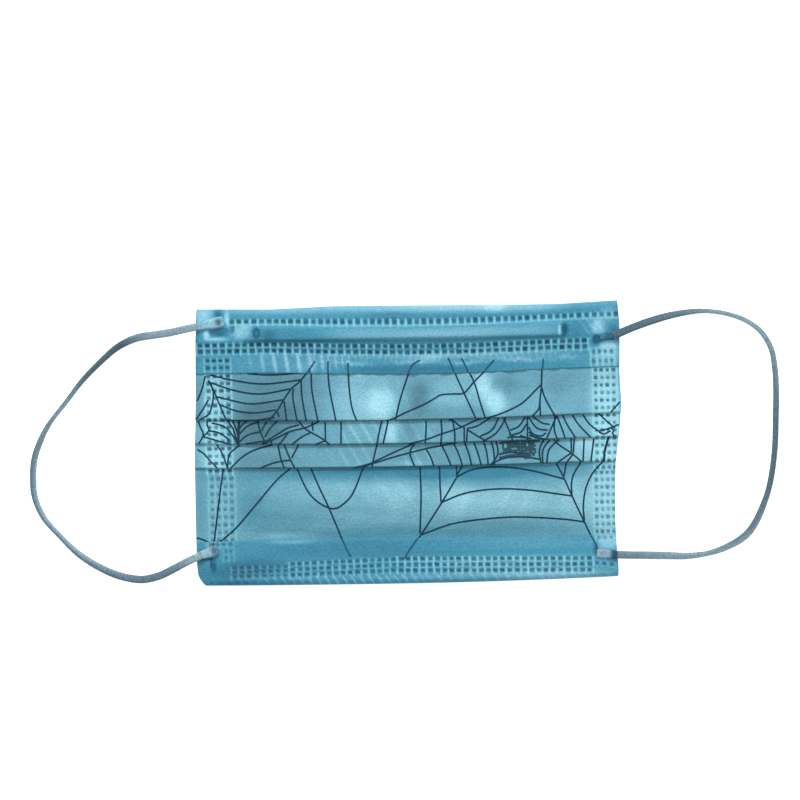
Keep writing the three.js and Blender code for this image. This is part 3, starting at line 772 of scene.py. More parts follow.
# The light end of the tones: painted highlight where the sheet bulges to the light.
PAINTED_HIGHLIGHT = paint(172, 231, 248) / LIGHT_LEVEL
# Dark of the weld pits, partly the melted threads and partly painted shade in the hollow, and the painted
# highlight on the raised ridges beside them.
PIT_COLOR = paint(8, 72, 104) / LIGHT_LEVEL
RIDGE_HIGHLIGHT = paint(160, 240, 255) / LIGHT_LEVEL
FOLD_PAINTED_SHADE = paint(34, 92, 116) / LIGHT_LEVEL  # painted shade: the thin dark line along a fold's edge, where the sheet turns away from the light
FOLD_SHADE_STRENGTH = 0.75
RIDGE_STRENGTH = 0.85
PIT_STRENGTH = 0.95


def cloth_colors(tone, chin, edge, pits, ridges):
    """chin is 1 on the panel at the chin, and edge 1 on the outer side of a fold, which gets painted
    shade.
    """
    t = tone[..., None]
    shade = mix(SHADE, CHIN_SHADE, chin[..., None])
    color = np.where(t < 0, mix(BASE, shade, -t), mix(BASE, PAINTED_HIGHLIGHT, t))
    color = mix(color, FOLD_PAINTED_SHADE, FOLD_SHADE_STRENGTH * edge[..., None])
    color = mix(color, RIDGE_HIGHLIGHT, RIDGE_STRENGTH * ridges[..., None])
    return mix(color, PIT_COLOR, PIT_STRENGTH * pits[..., None])


print("cloth colour as the shader takes it", np.round(BASE, 3))

# %% [markdown]
# The tones of the panels are soft patches and bundles of fine streaks. The patches are
# painted light and shade, with the greyer tint where a second ply shows through, and the
# streaks are painted sheen. Noise would give patches too, but not in the right places, so
# each one is a row of a table. A few slanting waves make the small creases.

# %% Tones and creases
# Patches of painted light and shade and of ply tint: panel, middle x and y, half width and height, tone
# from -1, painted shade, to 1, painted highlight.
PANEL_LIGHT_SHADE_AND_TINT = [
    (0, -44, 17, 20, 14, -0.68), (0, -50, 11, 14, 4, -0.6), (0, -20, 16, 10, 12, 0.45),
    (0, -8.4, 13.8, 5.2, 5.6, 1.0), (0, 4.5, 17, 3.8, 5, -0.8), (0, 2, 11, 8, 4, -0.35),
    (0, 16, 17, 8, 9, 0.2), (0, 26.4, 20, 2.8, 4.4, 0.9), (0, 30.6, 14, 3.6, 4.6, 1.2),
    (0, 34.8, 20, 4.5, 4, -0.5),
    (0, 46, 14, 8, 6, 0.05), (0, 52, 19, 5, 5, -0.3), (0, 16, 10, 14, 3, -0.4),
    (0, -65.5, 16, 5, 14, 0.75), (0, 69, 15, 5, 14, 0.9), (0, -71.5, 12, 1.8, 12, -0.5),
    (1, -52, 5, 14, 8, -0.95), (1, -35, 5, 14, 8, -0.2), (1, -15, 5, 8, 8, 0.0),
    (1, -5.5, 5, 2.4, 6, 0.8), (1, 1, 5, 3, 6, -0.45), (1, 30, 5, 22, 8, -0.45),
    (1, 56, 6, 6, 6, 0.15), (1, -65.5, 5, 5, 9, 1.0), (1, 69, 5, 5, 9, 1.0),
    (2, -50, -5, 14, 5, -0.6), (2, -24, -3, 12, 5, -0.2), (2, -5, -3, 10, 5, -0.3),
    (2, 1, -6.4, 5, 1.2, 0.4), (2, 22, -3, 22, 6, -0.4), (2, 42, -2, 9, 4, -0.4),
    (2, 62, 0, 4, 3, 0.5),
    (2, 60, -4, 5, 6, 0.4), (2, -65.5, -4, 5, 6, 1.0), (2, 69, -4, 5, 6, 1.0),
    (3, 0, -9.8, 62, 2.6, -1.0), (3, -54, -20, 6, 9, -0.5), (3, -42, -26, 12, 5, -0.35),
    (3, -24, -15, 14, 6, 0.2), (3, -4, -16, 9, 7, 0.45), (3, 22, -12, 26, 3, -0.5),
    (3, 34, -20, 22, 5, 0.55), (3, 16, -17, 6, 8, 0.4), (3, 58, -20, 6, 9, 0.4),
    (3, -6, -25, 26, 2.2, 0.1), (3, 25, -30.8, 42, 3.2, -0.5), (3, -20, -30.9, 26, 2.6, -0.45),
    (3, 10, -8.6, 62, 1.0, -0.5), (3, -42, -30.6, 9, 1.2, 0.5),
    (3, -65, -19, 5, 14, 0.1), (3, 69, -20, 6, 17, 0.85), (3, -71.5, -20, 2, 12, -0.35),
]
# Bundles of fine streaks of painted sheen: panel, middle x and y, half sizes, waves in
# radians for each millimetre, slant, tone.
PANEL_SHEEN_STREAKS = [
    (1, -16, 5, 8, 8, 1.5, 0.55, 0.4), (1, 3, 5, 8, 8, 1.4, 0.55, 0.3),
    (2, -18, -3, 8, 6, 1.5, 0.55, 0.35), (2, 4, -4, 6, 5, 1.5, 0.5, 0.4),
    (2, 30, -4, 20, 6, 1.2, 0.3, 0.2), (1, 30, 5, 18, 8, 1.1, -0.4, 0.15),
    (0, -4, 16, 10, 8, 1.3, 0.4, 0.15), (0, 30, 18, 8, 8, 1.3, -0.4, 0.15),
    (3, -5, -16, 20, 6, 0.9, 0.7, 0.12), (3, 36, -20, 22, 6, 0.9, -0.5, 0.12),
]
# Waves of the creases: height, radians for each millimetre along x and y, and shift.
CREASE_WAVES = [(0.1, 0.32, 0.21, 0.6), (0.07, 0.55, -0.4, 0.0), (0.05, 0.9, 0.3, 2.0),
                (0.04, 0.15, 1.3, 0.0)]


def tone_at(x, y, panel):
    tone = np.zeros_like(x)
    for own, middle_x, middle_y, wide, high, change in PANEL_LIGHT_SHADE_AND_TINT:
        away = ((x - middle_x) / wide) ** 2 + ((y - middle_y) / high) ** 2
        tone += np.where(panel == own, change * np.exp(-(away**1.3)), 0)
    for own, *streak in PANEL_SHEEN_STREAKS:
        tone += np.where(panel == own, streak_tone(x, y, *streak), 0)
    return np.clip(tone, -1, 1)


def streak_tone(x, y, middle_x, middle_y, wide, high, waves, slant, change):
    away = ((x - middle_x) / wide) ** 2 + ((y - middle_y) / high) ** 2
    return change * np.exp(-(away**2)) * np.maximum(0, np.sin(waves * (x + slant * y))) ** 2


def creases(x, y):
    """Small uneven heights of loose cloth, from a few slanting waves."""
    return sum(high * np.sin(along * x + up * y + shift) for high, along, up, shift in CREASE_WAVES)


print("patches", len(PANEL_LIGHT_SHADE_AND_TINT), "streaks", len(PANEL_SHEEN_STREAKS), "waves", len(CREASE_WAVES))

# %% [markdown]
# Columns of points cross the panel at its stations. They are close in the weld strips, where
# the dots are small, and wider between. An even spacing would need far more points.

# %% Columns of the panel
STRIP_STEP = 0.37
RAMP_STEP = 0.7
MIDDLE_STEP = 0.55
STEP_BORDERS = [-HALF_WIDTH, -59.0, -51.0, HALF_WIDTH - 20.0, HALF_WIDTH - 11.5, HALF_WIDTH]


def spaced_stations():
    steps = [STRIP_STEP, RAMP_STEP, MIDDLE_STEP, RAMP_STEP, STRIP_STEP]
    stations = []
    for start, end, step in zip(STEP_BORDERS, STEP_BORDERS[1:], steps):
        count = round((end - start) / step)
        stations += [mix(start, end, i / count) for i in range(count)]
    return np.array([*stations, HALF_WIDTH]) / HALF_WIDTH


def section_sides(lines, cloths):
    """Front and back points (y, z) of cloth sections, as arrays of rows by columns."""
    middle = np.array([[(y, z) for y, z, _ in line] for line in lines]).transpose(1, 0, 2)
    ahead = np.gradient(middle, axis=0)
    ahead /= np.linalg.norm(ahead, axis=2)[..., None]
    out = np.stack([ahead[..., 1], -ahead[..., 0]], axis=2)
    half = np.array(cloths)[None, :, None] / 2
    return middle + out * half, middle - out * half


stations = spaced_stations()
print("columns", len(stations))

# %% [markdown]
# Now the panel itself. The front of the sheet lies half a cloth's thickness above the
# middle line, and the inner side as much below it. A solidify modifier does the same, but
# its back would copy the dots of the front. The inner ply is white.

# %% Panel
THIN_CLOTH = 0.5  # what the front and back of the drawn sheet stand apart
FOLD_START = 0.45  # how steeply the sheet turns down where a fold's painted shade starts
FOLD_SPREAD = 0.3
WELDED_FOLD = 0.35  # how much of a fold's painted shade shows in the weld strips
sections = [sheet_line(u) for u in stations]
lines, cloths = zip(*sections)
front, back = section_sides(lines, [min(c, THIN_CLOTH) for c in cloths])
labels = np.array([row[2] for row in lines[0]])
panel_grid = np.broadcast_to(labels[:, None], front.shape[:2])
front_x = across_at(stations[None, :], front[..., 0])
back_x = across_at(stations[None, :], back[..., 0])

pits, ridges = weld_dots(front_x, front[..., 0], PANEL_ZONES)
seen = (panel_grid >= 0).astype(float)
loose = np.array([looseness(u) for u in stations])[None, :]
relief = (RIDGE_HEIGHT * ridges - PIT_DEPTH * pits) * seen
relief = relief + creases(front_x, front[..., 0]) * loose * seen
front_z = front[..., 1] + relief
tone = tone_at(front_x, front[..., 0], panel_grid)
downward = -np.gradient(front[..., 1], axis=0) / np.linalg.norm(np.gradient(front, axis=0), axis=2)
# Painted shade along each fold's edge, where the sheet turns down away from the light.
fold_shade = smooth((downward - FOLD_START) / FOLD_SPREAD) * mix(WELDED_FOLD, 1, loose) * seen
chin = (panel_grid == 3).astype(float)

rows, columns = front_x.shape
top = np.stack([front_x, front[..., 0], front_z], axis=2)
under = np.stack([back_x, back[..., 0], back[..., 1]], axis=2)[::-1]
points = np.concatenate([top, under])
faces = sheet_faces(rows, columns)
panel = new_mesh("panel_cloth", points, faces)
inner = np.broadcast_to(INNER_WHITE, under.shape)
outer_colors = cloth_colors(tone, chin, fold_shade, pits, ridges)
color_points(panel, np.concatenate([outer_colors, inner]))
panel.data.materials.append(front_cloth)
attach(panel, "root")
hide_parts("pleated_panel")
print("panel", rows, "rows and", columns, "columns")

# %% [markdown]
# The side welds melt all the layers into one strip. The layers could be joined point by
# point, but a plain core that fills the space under the top layer looks the same from
# every side and keeps the sheet whole.

# %% Weld cores
HEM_BACK = 8.0  # how far a hem reaches inward on the inner side
CORE_INSET = 0.15
CORE_STEPS = 60
CORE_DROP = 0.75  # below the middle of the top layer, clear of the weld pits
CORE_LAP = 1.0  # the core steps down this far before a fold's edge


def weld_core(name, outer, inner_edge):
    ends = []
    for station in (outer, inner_edge):
        cloth, _, folds = fold_stack(station)
        heights = panel_heights(station, folds)
        ys = np.linspace(HALF_HEIGHT - HEM_BACK - PIECE_GAP,
                         -HALF_HEIGHT + HEM_BACK + PIECE_GAP + CHIN_RISE, CORE_STEPS)
        borders = [fold["edge"] + cloth / 2 for fold in folds]
        z = [heights[sum(y < b + CORE_LAP for b in borders)](y) - CORE_DROP for y in ys]
        x = across_at(station, ys)
        ends.append(np.column_stack([x, ys, z]))
        ends.append(np.column_stack([x, ys, np.zeros(CORE_STEPS)]))
    a_top, a_low, b_top, b_low = ends
    ring = np.stack([a_top, b_top, b_low, a_low])
    faces = grid_faces(4, CORE_STEPS, close_rows=True)
    last = CORE_STEPS - 1
    faces += [tuple(k * CORE_STEPS for k in range(4)),
              tuple(k * CORE_STEPS + last for k in (3, 2, 1, 0))]
    core = new_mesh(name, ring, faces, smooth_faces=False)
    core.data.materials.append(inner_cloth)
    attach(core, "root")
    return core


inset = CORE_INSET / HALF_WIDTH
cores = [weld_core("weld_core_left", -1 + inset, -1 + LEFT_STRIP / HALF_WIDTH),
         weld_core("weld_core_right", 1 - inset, 1 - RIGHT_STRIP / HALF_WIDTH)]
print("cores", len(cores))

# %% [markdown]
# The hems are strips of the same cloth in a deeper blue, folded round the nose edge and the
# chin edge. A flat strip could be bent round by a modifier, but its section is so simple
# that a formula is shorter: from the back leg round the turn to the raw edge in front. The
# upper hem carries the nose wire in a raised channel.

# %% Section of a hem
WIRE_LENGTH = 107.0
WIRE_WIDTH = 3.7
WIRE_THICKNESS = 0.8
WIRE_SET_IN = 9.0
CHANNEL_MARGIN = 1.4
HEM_STEP = 0.42
HEM_LEG_ROWS = 4
HEM_TURN_ROWS = 8


def channel_shape(inward):
    away = np.abs(inward - WIRE_SET_IN) - WIRE_WIDTH / 2
    return 1 - smooth(away / CHANNEL_MARGIN)


def hem_section(front_width):
    """Rows of (inward, z) from the back leg's end to the raw front edge."""
    radius = SHEET_SEAT - HEM_CLOTH / 2
    rows = [(mix(HEM_BACK, SHEET_SEAT, i / HEM_LEG_ROWS), HEM_CLOTH / 2)
            for i in range(HEM_LEG_ROWS)]
    for i in range(HEM_TURN_ROWS + 1):
        angle = math.pi * i / HEM_TURN_ROWS
        rows.append((SHEET_SEAT - radius * math.sin(angle), SHEET_SEAT - radius * math.cos(angle)))
    steps = round((front_width - SHEET_SEAT) / HEM_STEP)
    flat = HEM_TOP - HEM_CLOTH / 2
    rows += [(mix(SHEET_SEAT, front_width, (i + 1) / steps), flat) for i in range(steps)]
    return np.array(rows)


print("rows of the nose hem", len(hem_section(TOP_HEM_FRONT)))

# %% [markdown]
# The nose hem isn't quite straight: its edge waves, and the welded part sags in the middle,
# because the wire holds the cloth back. A lattice could bend it, but two short lines that
# give how far it moves at each station do it with less.

# %% Line of the nose hem
# Stations, and how far the edge and the welded part lie above the solid model's there.
NOSE_HEM_LINE = [
    (-1.0, 0.05, 0.0), (-0.64, -0.45, 0.0), (-0.35, 0.3, -0.75), (0.0, 0.1, -1.35),
    (0.25, -0.1, -1.35), (0.45, -0.3, -1.0), (0.72, -0.35, -0.3), (1.0, 0.55, 0.0),
]
SAG_WIDTH = 3.0  # the sag grows over this width from the edge


def nose_hem_shift(station, inward):
    at, edge, welded = zip(*NOSE_HEM_LINE)
    share = smooth((inward - SHEET_SEAT) / SAG_WIDTH)
    return mix(np.interp(station, at, edge), np.interp(station, at, welded), share)


print("sag in the middle", round(float(nose_hem_shift(0, TOP_HEM_FRONT)), 2), "mm")

# %% [markdown]
# One function lays both hems. It spreads the section over the stations, presses the weld
# dots in, sinks the front down to the panel at its raw edge, and closes the strip with an
# inner side, because real cloth has one.

# %% Hem strips
# Colours of the hems' tones: painted shade, the hem's own blue and painted highlight.
HEM_SHADE = paint(30, 100, 130) / LIGHT_LEVEL
HEM_BASE = paint(72, 156, 186) / LIGHT_LEVEL
HEM_PAINTED_HIGHLIGHT = paint(162, 222, 244) / LIGHT_LEVEL
# Dark of the hems' weld pits: the melted threads, with painted shade in the pit.
HEM_PIT = paint(2, 70, 98) / LIGHT_LEVEL
HEM_PIT_STRENGTH = 0.97
HEM_RIDGE_STRENGTH = 0.64
HEM_SINK = 1.1  # how far the front comes down to the panel at the raw edge


def hem_piece(name, node, front_width, nose_side, zones, rise_at, tone_of):
    section = hem_section(front_width)
    count = round(BODY_WIDTH / HEM_STEP)
    stations = np.linspace(-1, 1, count)
    inward = np.repeat(section[:, :1], count, axis=1)
    height = np.repeat(section[:, 1:], count, axis=1)
    on_front = np.arange(len(section))[:, None] >= HEM_LEG_ROWS + HEM_TURN_ROWS
    if nose_side:
        shift = nose_hem_shift(stations, inward)
        marks_y = HALF_HEIGHT - inward
        y = marks_y + shift
        middle_y = HALF_HEIGHT - SHEET_SEAT + nose_hem_shift(stations, SHEET_SEAT)
    else:
        on_leg = np.where(on_front, 1 - inward / front_width, 1)
        shift = chin_rise(stations) * np.clip(on_leg, 0, 1)
        y = marks_y = -HALF_HEIGHT + inward + shift
        middle_y = -HALF_HEIGHT + SHEET_SEAT + shift
    x = across_at(stations[None, :], y)
    height = height + np.where(on_front, rise_at(x, marks_y, inward - shift), 0)
    turn_y, turn_z = y - middle_y, height - SHEET_SEAT
    turn_size = np.maximum(np.hypot(turn_y, turn_z), 1e-6)
    in_turn = ~on_front & (inward <= SHEET_SEAT)
    out_y = np.where(in_turn, turn_y / turn_size, 0)
    out_z = np.where(in_turn, turn_z / turn_size, np.where(on_front, 1, -1))
    half = HEM_CLOTH / 2
    sink = HEM_SINK * smooth((inward - front_width / 3) / (front_width * 2 / 3)) * on_front
    pits, ridges = weld_dots(x, marks_y, zones)
    pits, ridges = pits * on_front, ridges * on_front
    outer_z = height + out_z * half + RIDGE_HEIGHT * ridges - PIT_DEPTH * pits - sink
    outer = np.stack([x, y + out_y * half, outer_z], axis=2)
    inner_z = height - out_z * half - sink / 2
    inner = np.stack([x, y - out_y * half, inner_z], axis=2)[::-1]
    tone = tone_of(x, marks_y)[..., None]
    color = np.where(tone < 0, mix(HEM_BASE, HEM_SHADE, -tone), mix(HEM_BASE, HEM_PAINTED_HIGHLIGHT, tone))
    color = mix(color, RIDGE_HIGHLIGHT, HEM_RIDGE_STRENGTH * ridges[..., None])
    color = mix(color, HEM_PIT, HEM_PIT_STRENGTH * pits[..., None])
    faces = sheet_faces(len(section), count)
    if not nose_side:
        faces = [face[::-1] for face in faces]
    piece = new_mesh(name, np.concatenate([outer, inner]), faces)
    color_points(piece, np.concatenate([color, color[::-1]]))
    piece.data.materials.append(hem_cloth)
    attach(piece, "root")
    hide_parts(node)
    cut = np.linalg.norm(np.diff(section, axis=0), axis=1).sum()
    return piece, (BODY_WIDTH * MM, float(cut) * MM)


print("deepest pit of a hem", PIT_DEPTH, "mm")

# %% [markdown]
# The hems have tones of their own: painted highlights where they bulge, painted shade in the
# groove under the wire, and marks of the welding tips near the corners, darker in their dents
# and lighter on their rims as painted shade and highlights. They are patches and streaks as before.

# %% Tones of the hems
# Patches of painted light and shade on the hems, which also draw the tips' weld marks: middle x and y,
# half width and height, tone.
TOP_HEM_SHADING_AND_MARKS = [
    (-8, 47, 50, 1.5, 0.4), (30, 46.6, 34, 1.6, 0.35), (31, 47, 4, 1.3, 0.5),
    (-5, 44.8, 8, 1.0, -0.25), (24, 44.9, 30, 1.0, -0.15), (58, 46, 8, 1.6, -0.2),
    (-38, 38.4, 14, 2.6, -0.2), (-10, 39.4, 22, 2.4, 0.35), (22, 39.4, 20, 2.2, 0.45),
    (46, 39, 8, 2.4, 0.2), (0, 36.7, 58, 0.7, -0.6), (-47, 38.4, 2.5, 2.4, -0.5),
    (-40, 30, 20, 3.4, 0.1), (-5, 34.2, 64, 1.7, -0.3), (-28, 27.5, 10, 2, 0.25),
    (2, 32.3, 34, 1.5, 0.25),
    (4, 27.0, 30, 1.7, -0.4), (8, 31, 5, 2, 0.35), (30, 31.8, 24, 1.6, 0.2),
    (34, 28, 12, 2.4, 0.1), (50, 28.8, 10, 2.6, 0.1), (-72, 36, 1.0, 8, -0.35),
    (-51.2, 39.3, 1.2, 2.1, -1.6), (-51.2, 39.3, 0.5, 1.1, 1.3), (-56.6, 40, 3.4, 2.8, 0.7),
    (55.1, 38.8, 1.3, 2.1, -1.2), (53.3, 38.8, 0.55, 1.9, 1.1), (59, 38.6, 3, 2.6, -0.35),
    (-69.4, 45, 3.2, 2.6, 0.8), (-64.3, 46.4, 1.4, 1.4, -0.8), (-61.3, 44.6, 0.8, 2.2, 1.0),
    (-64.2, 39.6, 3.3, 1.7, -0.8), (-68.4, 38.9, 1.1, 1.7, 1.2), (-65, 37.5, 3.4, 0.7, 1.0),
    (-59.4, 40.6, 0.8, 1.3, -0.9), (66.2, 35.0, 1.5, 1.7, -1.6), (66.6, 39.6, 2.3, 2.8, 0.8),
    (70.5, 33.2, 3.2, 1.4, 0.8), (72, 38.8, 1.6, 1.4, -0.5), (69.5, 30, 5, 4, 0.7),
    (70, 43.5, 3, 2, 0.4),
]
BOTTOM_HEM_SHADING_AND_MARKS = [
    (-20, -36, 40, 3.4, -0.4), (34, -34.4, 34, 2.2, 0.1), (30, -37.8, 34, 1.0, -0.2),
    (-64, -44, 10, 5, -0.5), (-50, -46.8, 16, 1.2, -0.4), (0, -46.8, 30, 1.3, -0.05),
    (50, -45.4, 20, 1.8, 0.4), (-40, -32.9, 9, 0.9, 0.45), (-71.5, -38, 1.2, 8, -0.2),
    (69, -34.6, 4.5, 3, 0.75), (-68.2, -33.6, 4, 1.6, 0.2), (-70, -38.3, 3, 0.6, -1.0),
    (-67.4, -41, 0.9, 2.2, -0.9), (64.6, -37, 0.8, 2.6, -0.9), (72, -41, 2.4, 1.0, -0.4),
    (-20, -42, 34, 3, -0.15), (20, -45.6, 40, 0.7, 0.2), (-52, -41.4, 10, 3.4, -0.6),
    (30, -41, 36, 3.2, 0.25),
]
# Bundles of fine lighter streaks, on the nose hem painted sheen on small wrinkles: middle x
# and y, half sizes, waves, slant, tone.
TOP_SHEEN_STREAKS = [
    (-40, 29.8, 13, 4.5, 1.5, 0.15, 0.75), (-26, 30, 8, 4, 2.6, 0.1, 0.4),
    (0, 31.6, 24, 1.8, 3.0, -0.3, 0.3), (40, 31.4, 20, 2.0, 2.8, 0.3, 0.3),
    (-58, 38.5, 6, 3, 2.4, -0.8, 0.25), (64, 40, 4, 4, 2.4, 0.7, 0.3),
]
BOTTOM_STREAKS = [
    (-30, -46, 40, 1.8, 2.1, 0.8, 0.5), (30, -45.6, 40, 1.4, 1.6, 0.8, 0.3),
]


def patches(table, streaks):
    def tone_of(x, y):
        tone = sum(streak_tone(x, y, *row) for row in streaks)
        for middle_x, middle_y, wide, high, change in table:
            away = ((x - middle_x) / wide) ** 2 + ((y - middle_y) / high) ** 2
            tone += change * np.exp(-(away**1.5))
        return np.clip(tone, -1, 1)
    return tone_of


bottom_tone = patches(BOTTOM_HEM_SHADING_AND_MARKS, BOTTOM_STREAKS)
print("patches", len(TOP_HEM_SHADING_AND_MARKS) + len(BOTTOM_HEM_SHADING_AND_MARKS))

# %% [markdown]
# The outer ply of the nose hem ends a little above the next one, and its raw edge is frayed.
# Single threads could be drawn as hairs. At this size a broken pale line is enough, with the
# darker band of the next ply below it.

# %% Frayed edge
FRAY_PLACE = 28.9
FRAY_ENDS = (-34.0, 62.0)
# Waves of the line: radians for each millimetre, height and shift.
FRAY_WAVES = [(0.21, 0.4, 0.9), (0.83, 0.2, 0.0), (1.9, 0.14, 2.0), (3.1, 0.1, 0.5)]


def fray_tone(x, y):
    """Pale threads along the frayed edge, and the darker band of the ply below it."""
    line = FRAY_PLACE + sum(high * np.sin(waves * x + shift) for waves, high, shift in FRAY_WAVES)
    left, right = FRAY_ENDS
    share = smooth((x - left) / 4) * smooth((right - x) / 8)
    threads = 0.35 + 0.3 * np.sin(0.33 * x + 1.2)
    threads += 0.2 * np.sin(1.07 * x + 2) * np.sin(2.6 * x) + 0.15 * np.sin(4.7 * x + 2.2 * y)
    rim = np.exp(-(((y - line - 0.4) / 0.8) ** 2)) * np.maximum(0, threads)
    return share * (0.7 * rim - 0.15 * smooth((line - y) / 0.5 + 0.5))


def top_tone(x, y):
    return np.clip(patches(TOP_HEM_SHADING_AND_MARKS, TOP_SHEEN_STREAKS)(x, y) + fray_tone(x, y), -1, 1)


print("frayed edge from", FRAY_ENDS[0], "to", FRAY_ENDS[1], "mm")

# %% [markdown]
# The fronts of the hems also rise and fall: over the wire, in small ripples where the cloth
# is loose, and in dents where a welding tip pressed. Then both strips can be made. The wire
# itself is the solid model's, which gets its plastic cover's material here.

# %% Hems
# Weld marks and dents near the corners: middle x and y, half width and height, depth.
DENTS = [
    (-64.2, 39.8, 3.3, 1.6, 0.5), (-64.3, 46.2, 1.4, 1.4, 0.3), (66.2, 35.0, 1.4, 1.6, 0.5),
    (55.1, 38.8, 1.2, 2.1, 0.4), (-51.2, 39.3, 1.2, 2.1, 0.3), (-59.4, 40.6, 0.9, 1.3, 0.3),
    (-67.4, -40.6, 1.2, 2.4, 0.3), (64.6, -37, 1.0, 2.6, 0.3),
]


def dents(x, y):
    depth = np.zeros_like(x)
    for middle_x, middle_y, wide, high, deep in DENTS:
        away = ((x - middle_x) / wide) ** 2 + ((y - middle_y) / high) ** 2
        depth = np.maximum(depth, deep * smooth(2.2 - 1.6 * away))
    return depth


# Ripples: height, radians for each millimetre along x and y, and shift.
TOP_RIPPLES = [(0.16, 1.15, 0.2, 0.0), (0.12, 0.52, 0.0, 1.0)]
BOTTOM_RIPPLES = [(0.08, 0.8, 0.5, 0.0)]
RIPPLE_GROWTH = 3.0  # ripples grow over this width
TOP_RIPPLES_FROM = 15.0
BOTTOM_RIPPLES_FROM = 3.0
RIPPLE_SIDES = (14.0, 6.0)  # no ripples this near to a side, and the width they grow over


def ripples(table, x, y):
    return sum(high * np.sin(along * x + up * y + shift) for high, along, up, shift in table)


def top_rise(x, y, inward):
    end = WIRE_LENGTH / 2 + PIECE_GAP
    covered = 1 - smooth((np.abs(x) - end) / (2 * CHANNEL_MARGIN))
    channel = (PIECE_GAP + WIRE_THICKNESS) * covered * channel_shape(inward)
    margin, growth = RIPPLE_SIDES
    loose = smooth((HALF_WIDTH - margin - np.abs(x)) / growth)
    loose = loose * smooth((inward - TOP_RIPPLES_FROM) / RIPPLE_GROWTH)
    return channel + loose * ripples(TOP_RIPPLES, x, y) - dents(x, y)


def bottom_rise(x, y, inward):
    loose = smooth((inward - BOTTOM_RIPPLES_FROM) / RIPPLE_GROWTH)
    return loose * ripples(BOTTOM_RIPPLES, x, y) - dents(x, y)


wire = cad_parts["nose_wire"]
wire.data.materials.clear()
wire.data.materials.append(wire_cover)
top_hem, top_cut = hem_piece("hem_nose_edge", "top_hem", TOP_HEM_FRONT, True, HEM_ZONES,
                              top_rise, top_tone)
bottom_hem, bottom_cut = hem_piece("hem_chin_edge", "bottom_hem", BOTTOM_HEM_FRONT, False,
                                   CHIN_ZONES, bottom_rise, bottom_tone)
print("hems cut", [round(v, 4) for v in top_cut], "and", [round(v, 4) for v in bottom_cut])

# %% [markdown]
# Each end of an elastic is laid flat on a corner of the mask and pressed by a welding tip.
# A squashed copy of the band would be one way. A small pad of its own is another, which is
# easy to shape: full in the middle, round at its rim, with the mark of the tip.

# %% Elastic ends
PAD_HEIGHT = 0.95
PAD_BASE = HEM_TOP - 0.05
PAD_ROWS = 11
PAD_COLUMNS = 27
PRESS_LENGTH = 0.15  # share of the pad that the tip marked
PRESS_DEPTH = 0.5
OUTER_REACH = 0.25  # the pad runs out to the loose elastic and is as high there
OUTER_LIFT = 0.65
# Outer and inner end, widths there, colours there, which hold the band's painted light and
# shade, share of the length where the colour changes, and the place and strength of the tip's
# mark, which darkens the colour with the melted weld and painted shade in its dent.
PADS = {
    "ear_loop_tab_top_left": ((-71.4, 41.9), (-62.4, 43.6), (2.9, 4.2), (136, 186, 204),
                              (156, 212, 232), 0.4, 0.8, 0.8),
    "ear_loop_tab_top_right": ((71.4, 36.2), (67.2, 35.9), (2.7, 2.4), (50, 108, 134),
                               (66, 132, 162), 0.6, 0.5, 0.0),
    "ear_loop_tab_bottom_left": ((-71.4, -36.8), (-66.0, -35.2), (2.9, 4.0), (152, 196, 210),
                                 (116, 158, 184), 0.62, 0.8, 0.5),
    "ear_loop_tab_bottom_right": ((71.4, -39.2), (64.7, -38.7), (2.8, 3.4), (36, 84, 112),
                                  (150, 184, 202), 0.3, 0.6, 0.12),
}


def pad(name, outer, inner, widths, outer_color, inner_color, change_at, pressed_at, mark):
    inner = np.array(inner)
    way = np.array(outer) - inner
    length = np.linalg.norm(way)
    way /= length
    normal = np.array([-way[1], way[0]])
    inward, across = np.meshgrid(np.linspace(1, 0, PAD_COLUMNS), np.linspace(-1, 1, PAD_ROWS))
    last_half = np.maximum(0, 2 * inward - 1)
    full = np.sqrt((1 - last_half**6) * (1 - np.abs(across) ** 5))
    full = full * (1 + OUTER_LIFT * smooth(0.6 - 2 * inward))
    press = np.exp(-(((inward - pressed_at) / PRESS_LENGTH) ** 2) - (across / 0.8) ** 2)
    reach = length * (1 - inward) + OUTER_REACH * smooth(1 - 3 * inward)
    half_wide = mix(*widths, inward) / 2 * (1 - 0.3 * last_half**5)
    place = inner + way * reach[..., None] + normal * (across * half_wide)[..., None]
    height = PAD_BASE + full * (PAD_HEIGHT - PRESS_DEPTH * press * (mark > 0))
    top = np.dstack([place, height])
    low = np.dstack([place, np.full(full.shape, PAD_BASE - 0.1)])[::-1]
    faces = grid_faces(2 * PAD_ROWS, PAD_COLUMNS, close_rows=True)
    for j, order in ((0, 1), (PAD_COLUMNS - 1, -1)):
        faces.append([k * PAD_COLUMNS + j for k in range(2 * PAD_ROWS)][::order])
    piece = new_mesh(name.replace("ear_loop_tab", "elastic_end"), np.concatenate([top, low]), faces)
    blend = smooth((inward - change_at) / 0.3 + 0.5)[..., None]
    # Painted light and shade along the pad, darkened in the tip's mark.
    color = mix(paint(*outer_color), paint(*inner_color), blend) * (1 - mark * press[..., None])
    color_points(piece, np.concatenate([color, color[::-1]]) / LIGHT_LEVEL)
    piece.data.materials.append(knit)
    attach(piece, "root")
    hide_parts(name)
    return piece


pads = [pad(name, *row) for name, row in PADS.items()]
print("elastic ends", len(pads))

# %% [markdown]
# The print is a pair of spider webs, drawn in thin lines before the cloth was folded, so
# the lines break at each fold. A printed picture would do for one view, but it blurs close
# up. So every line is a short list of points, given in the pixels of a picture taken from
# above, one list for each panel.

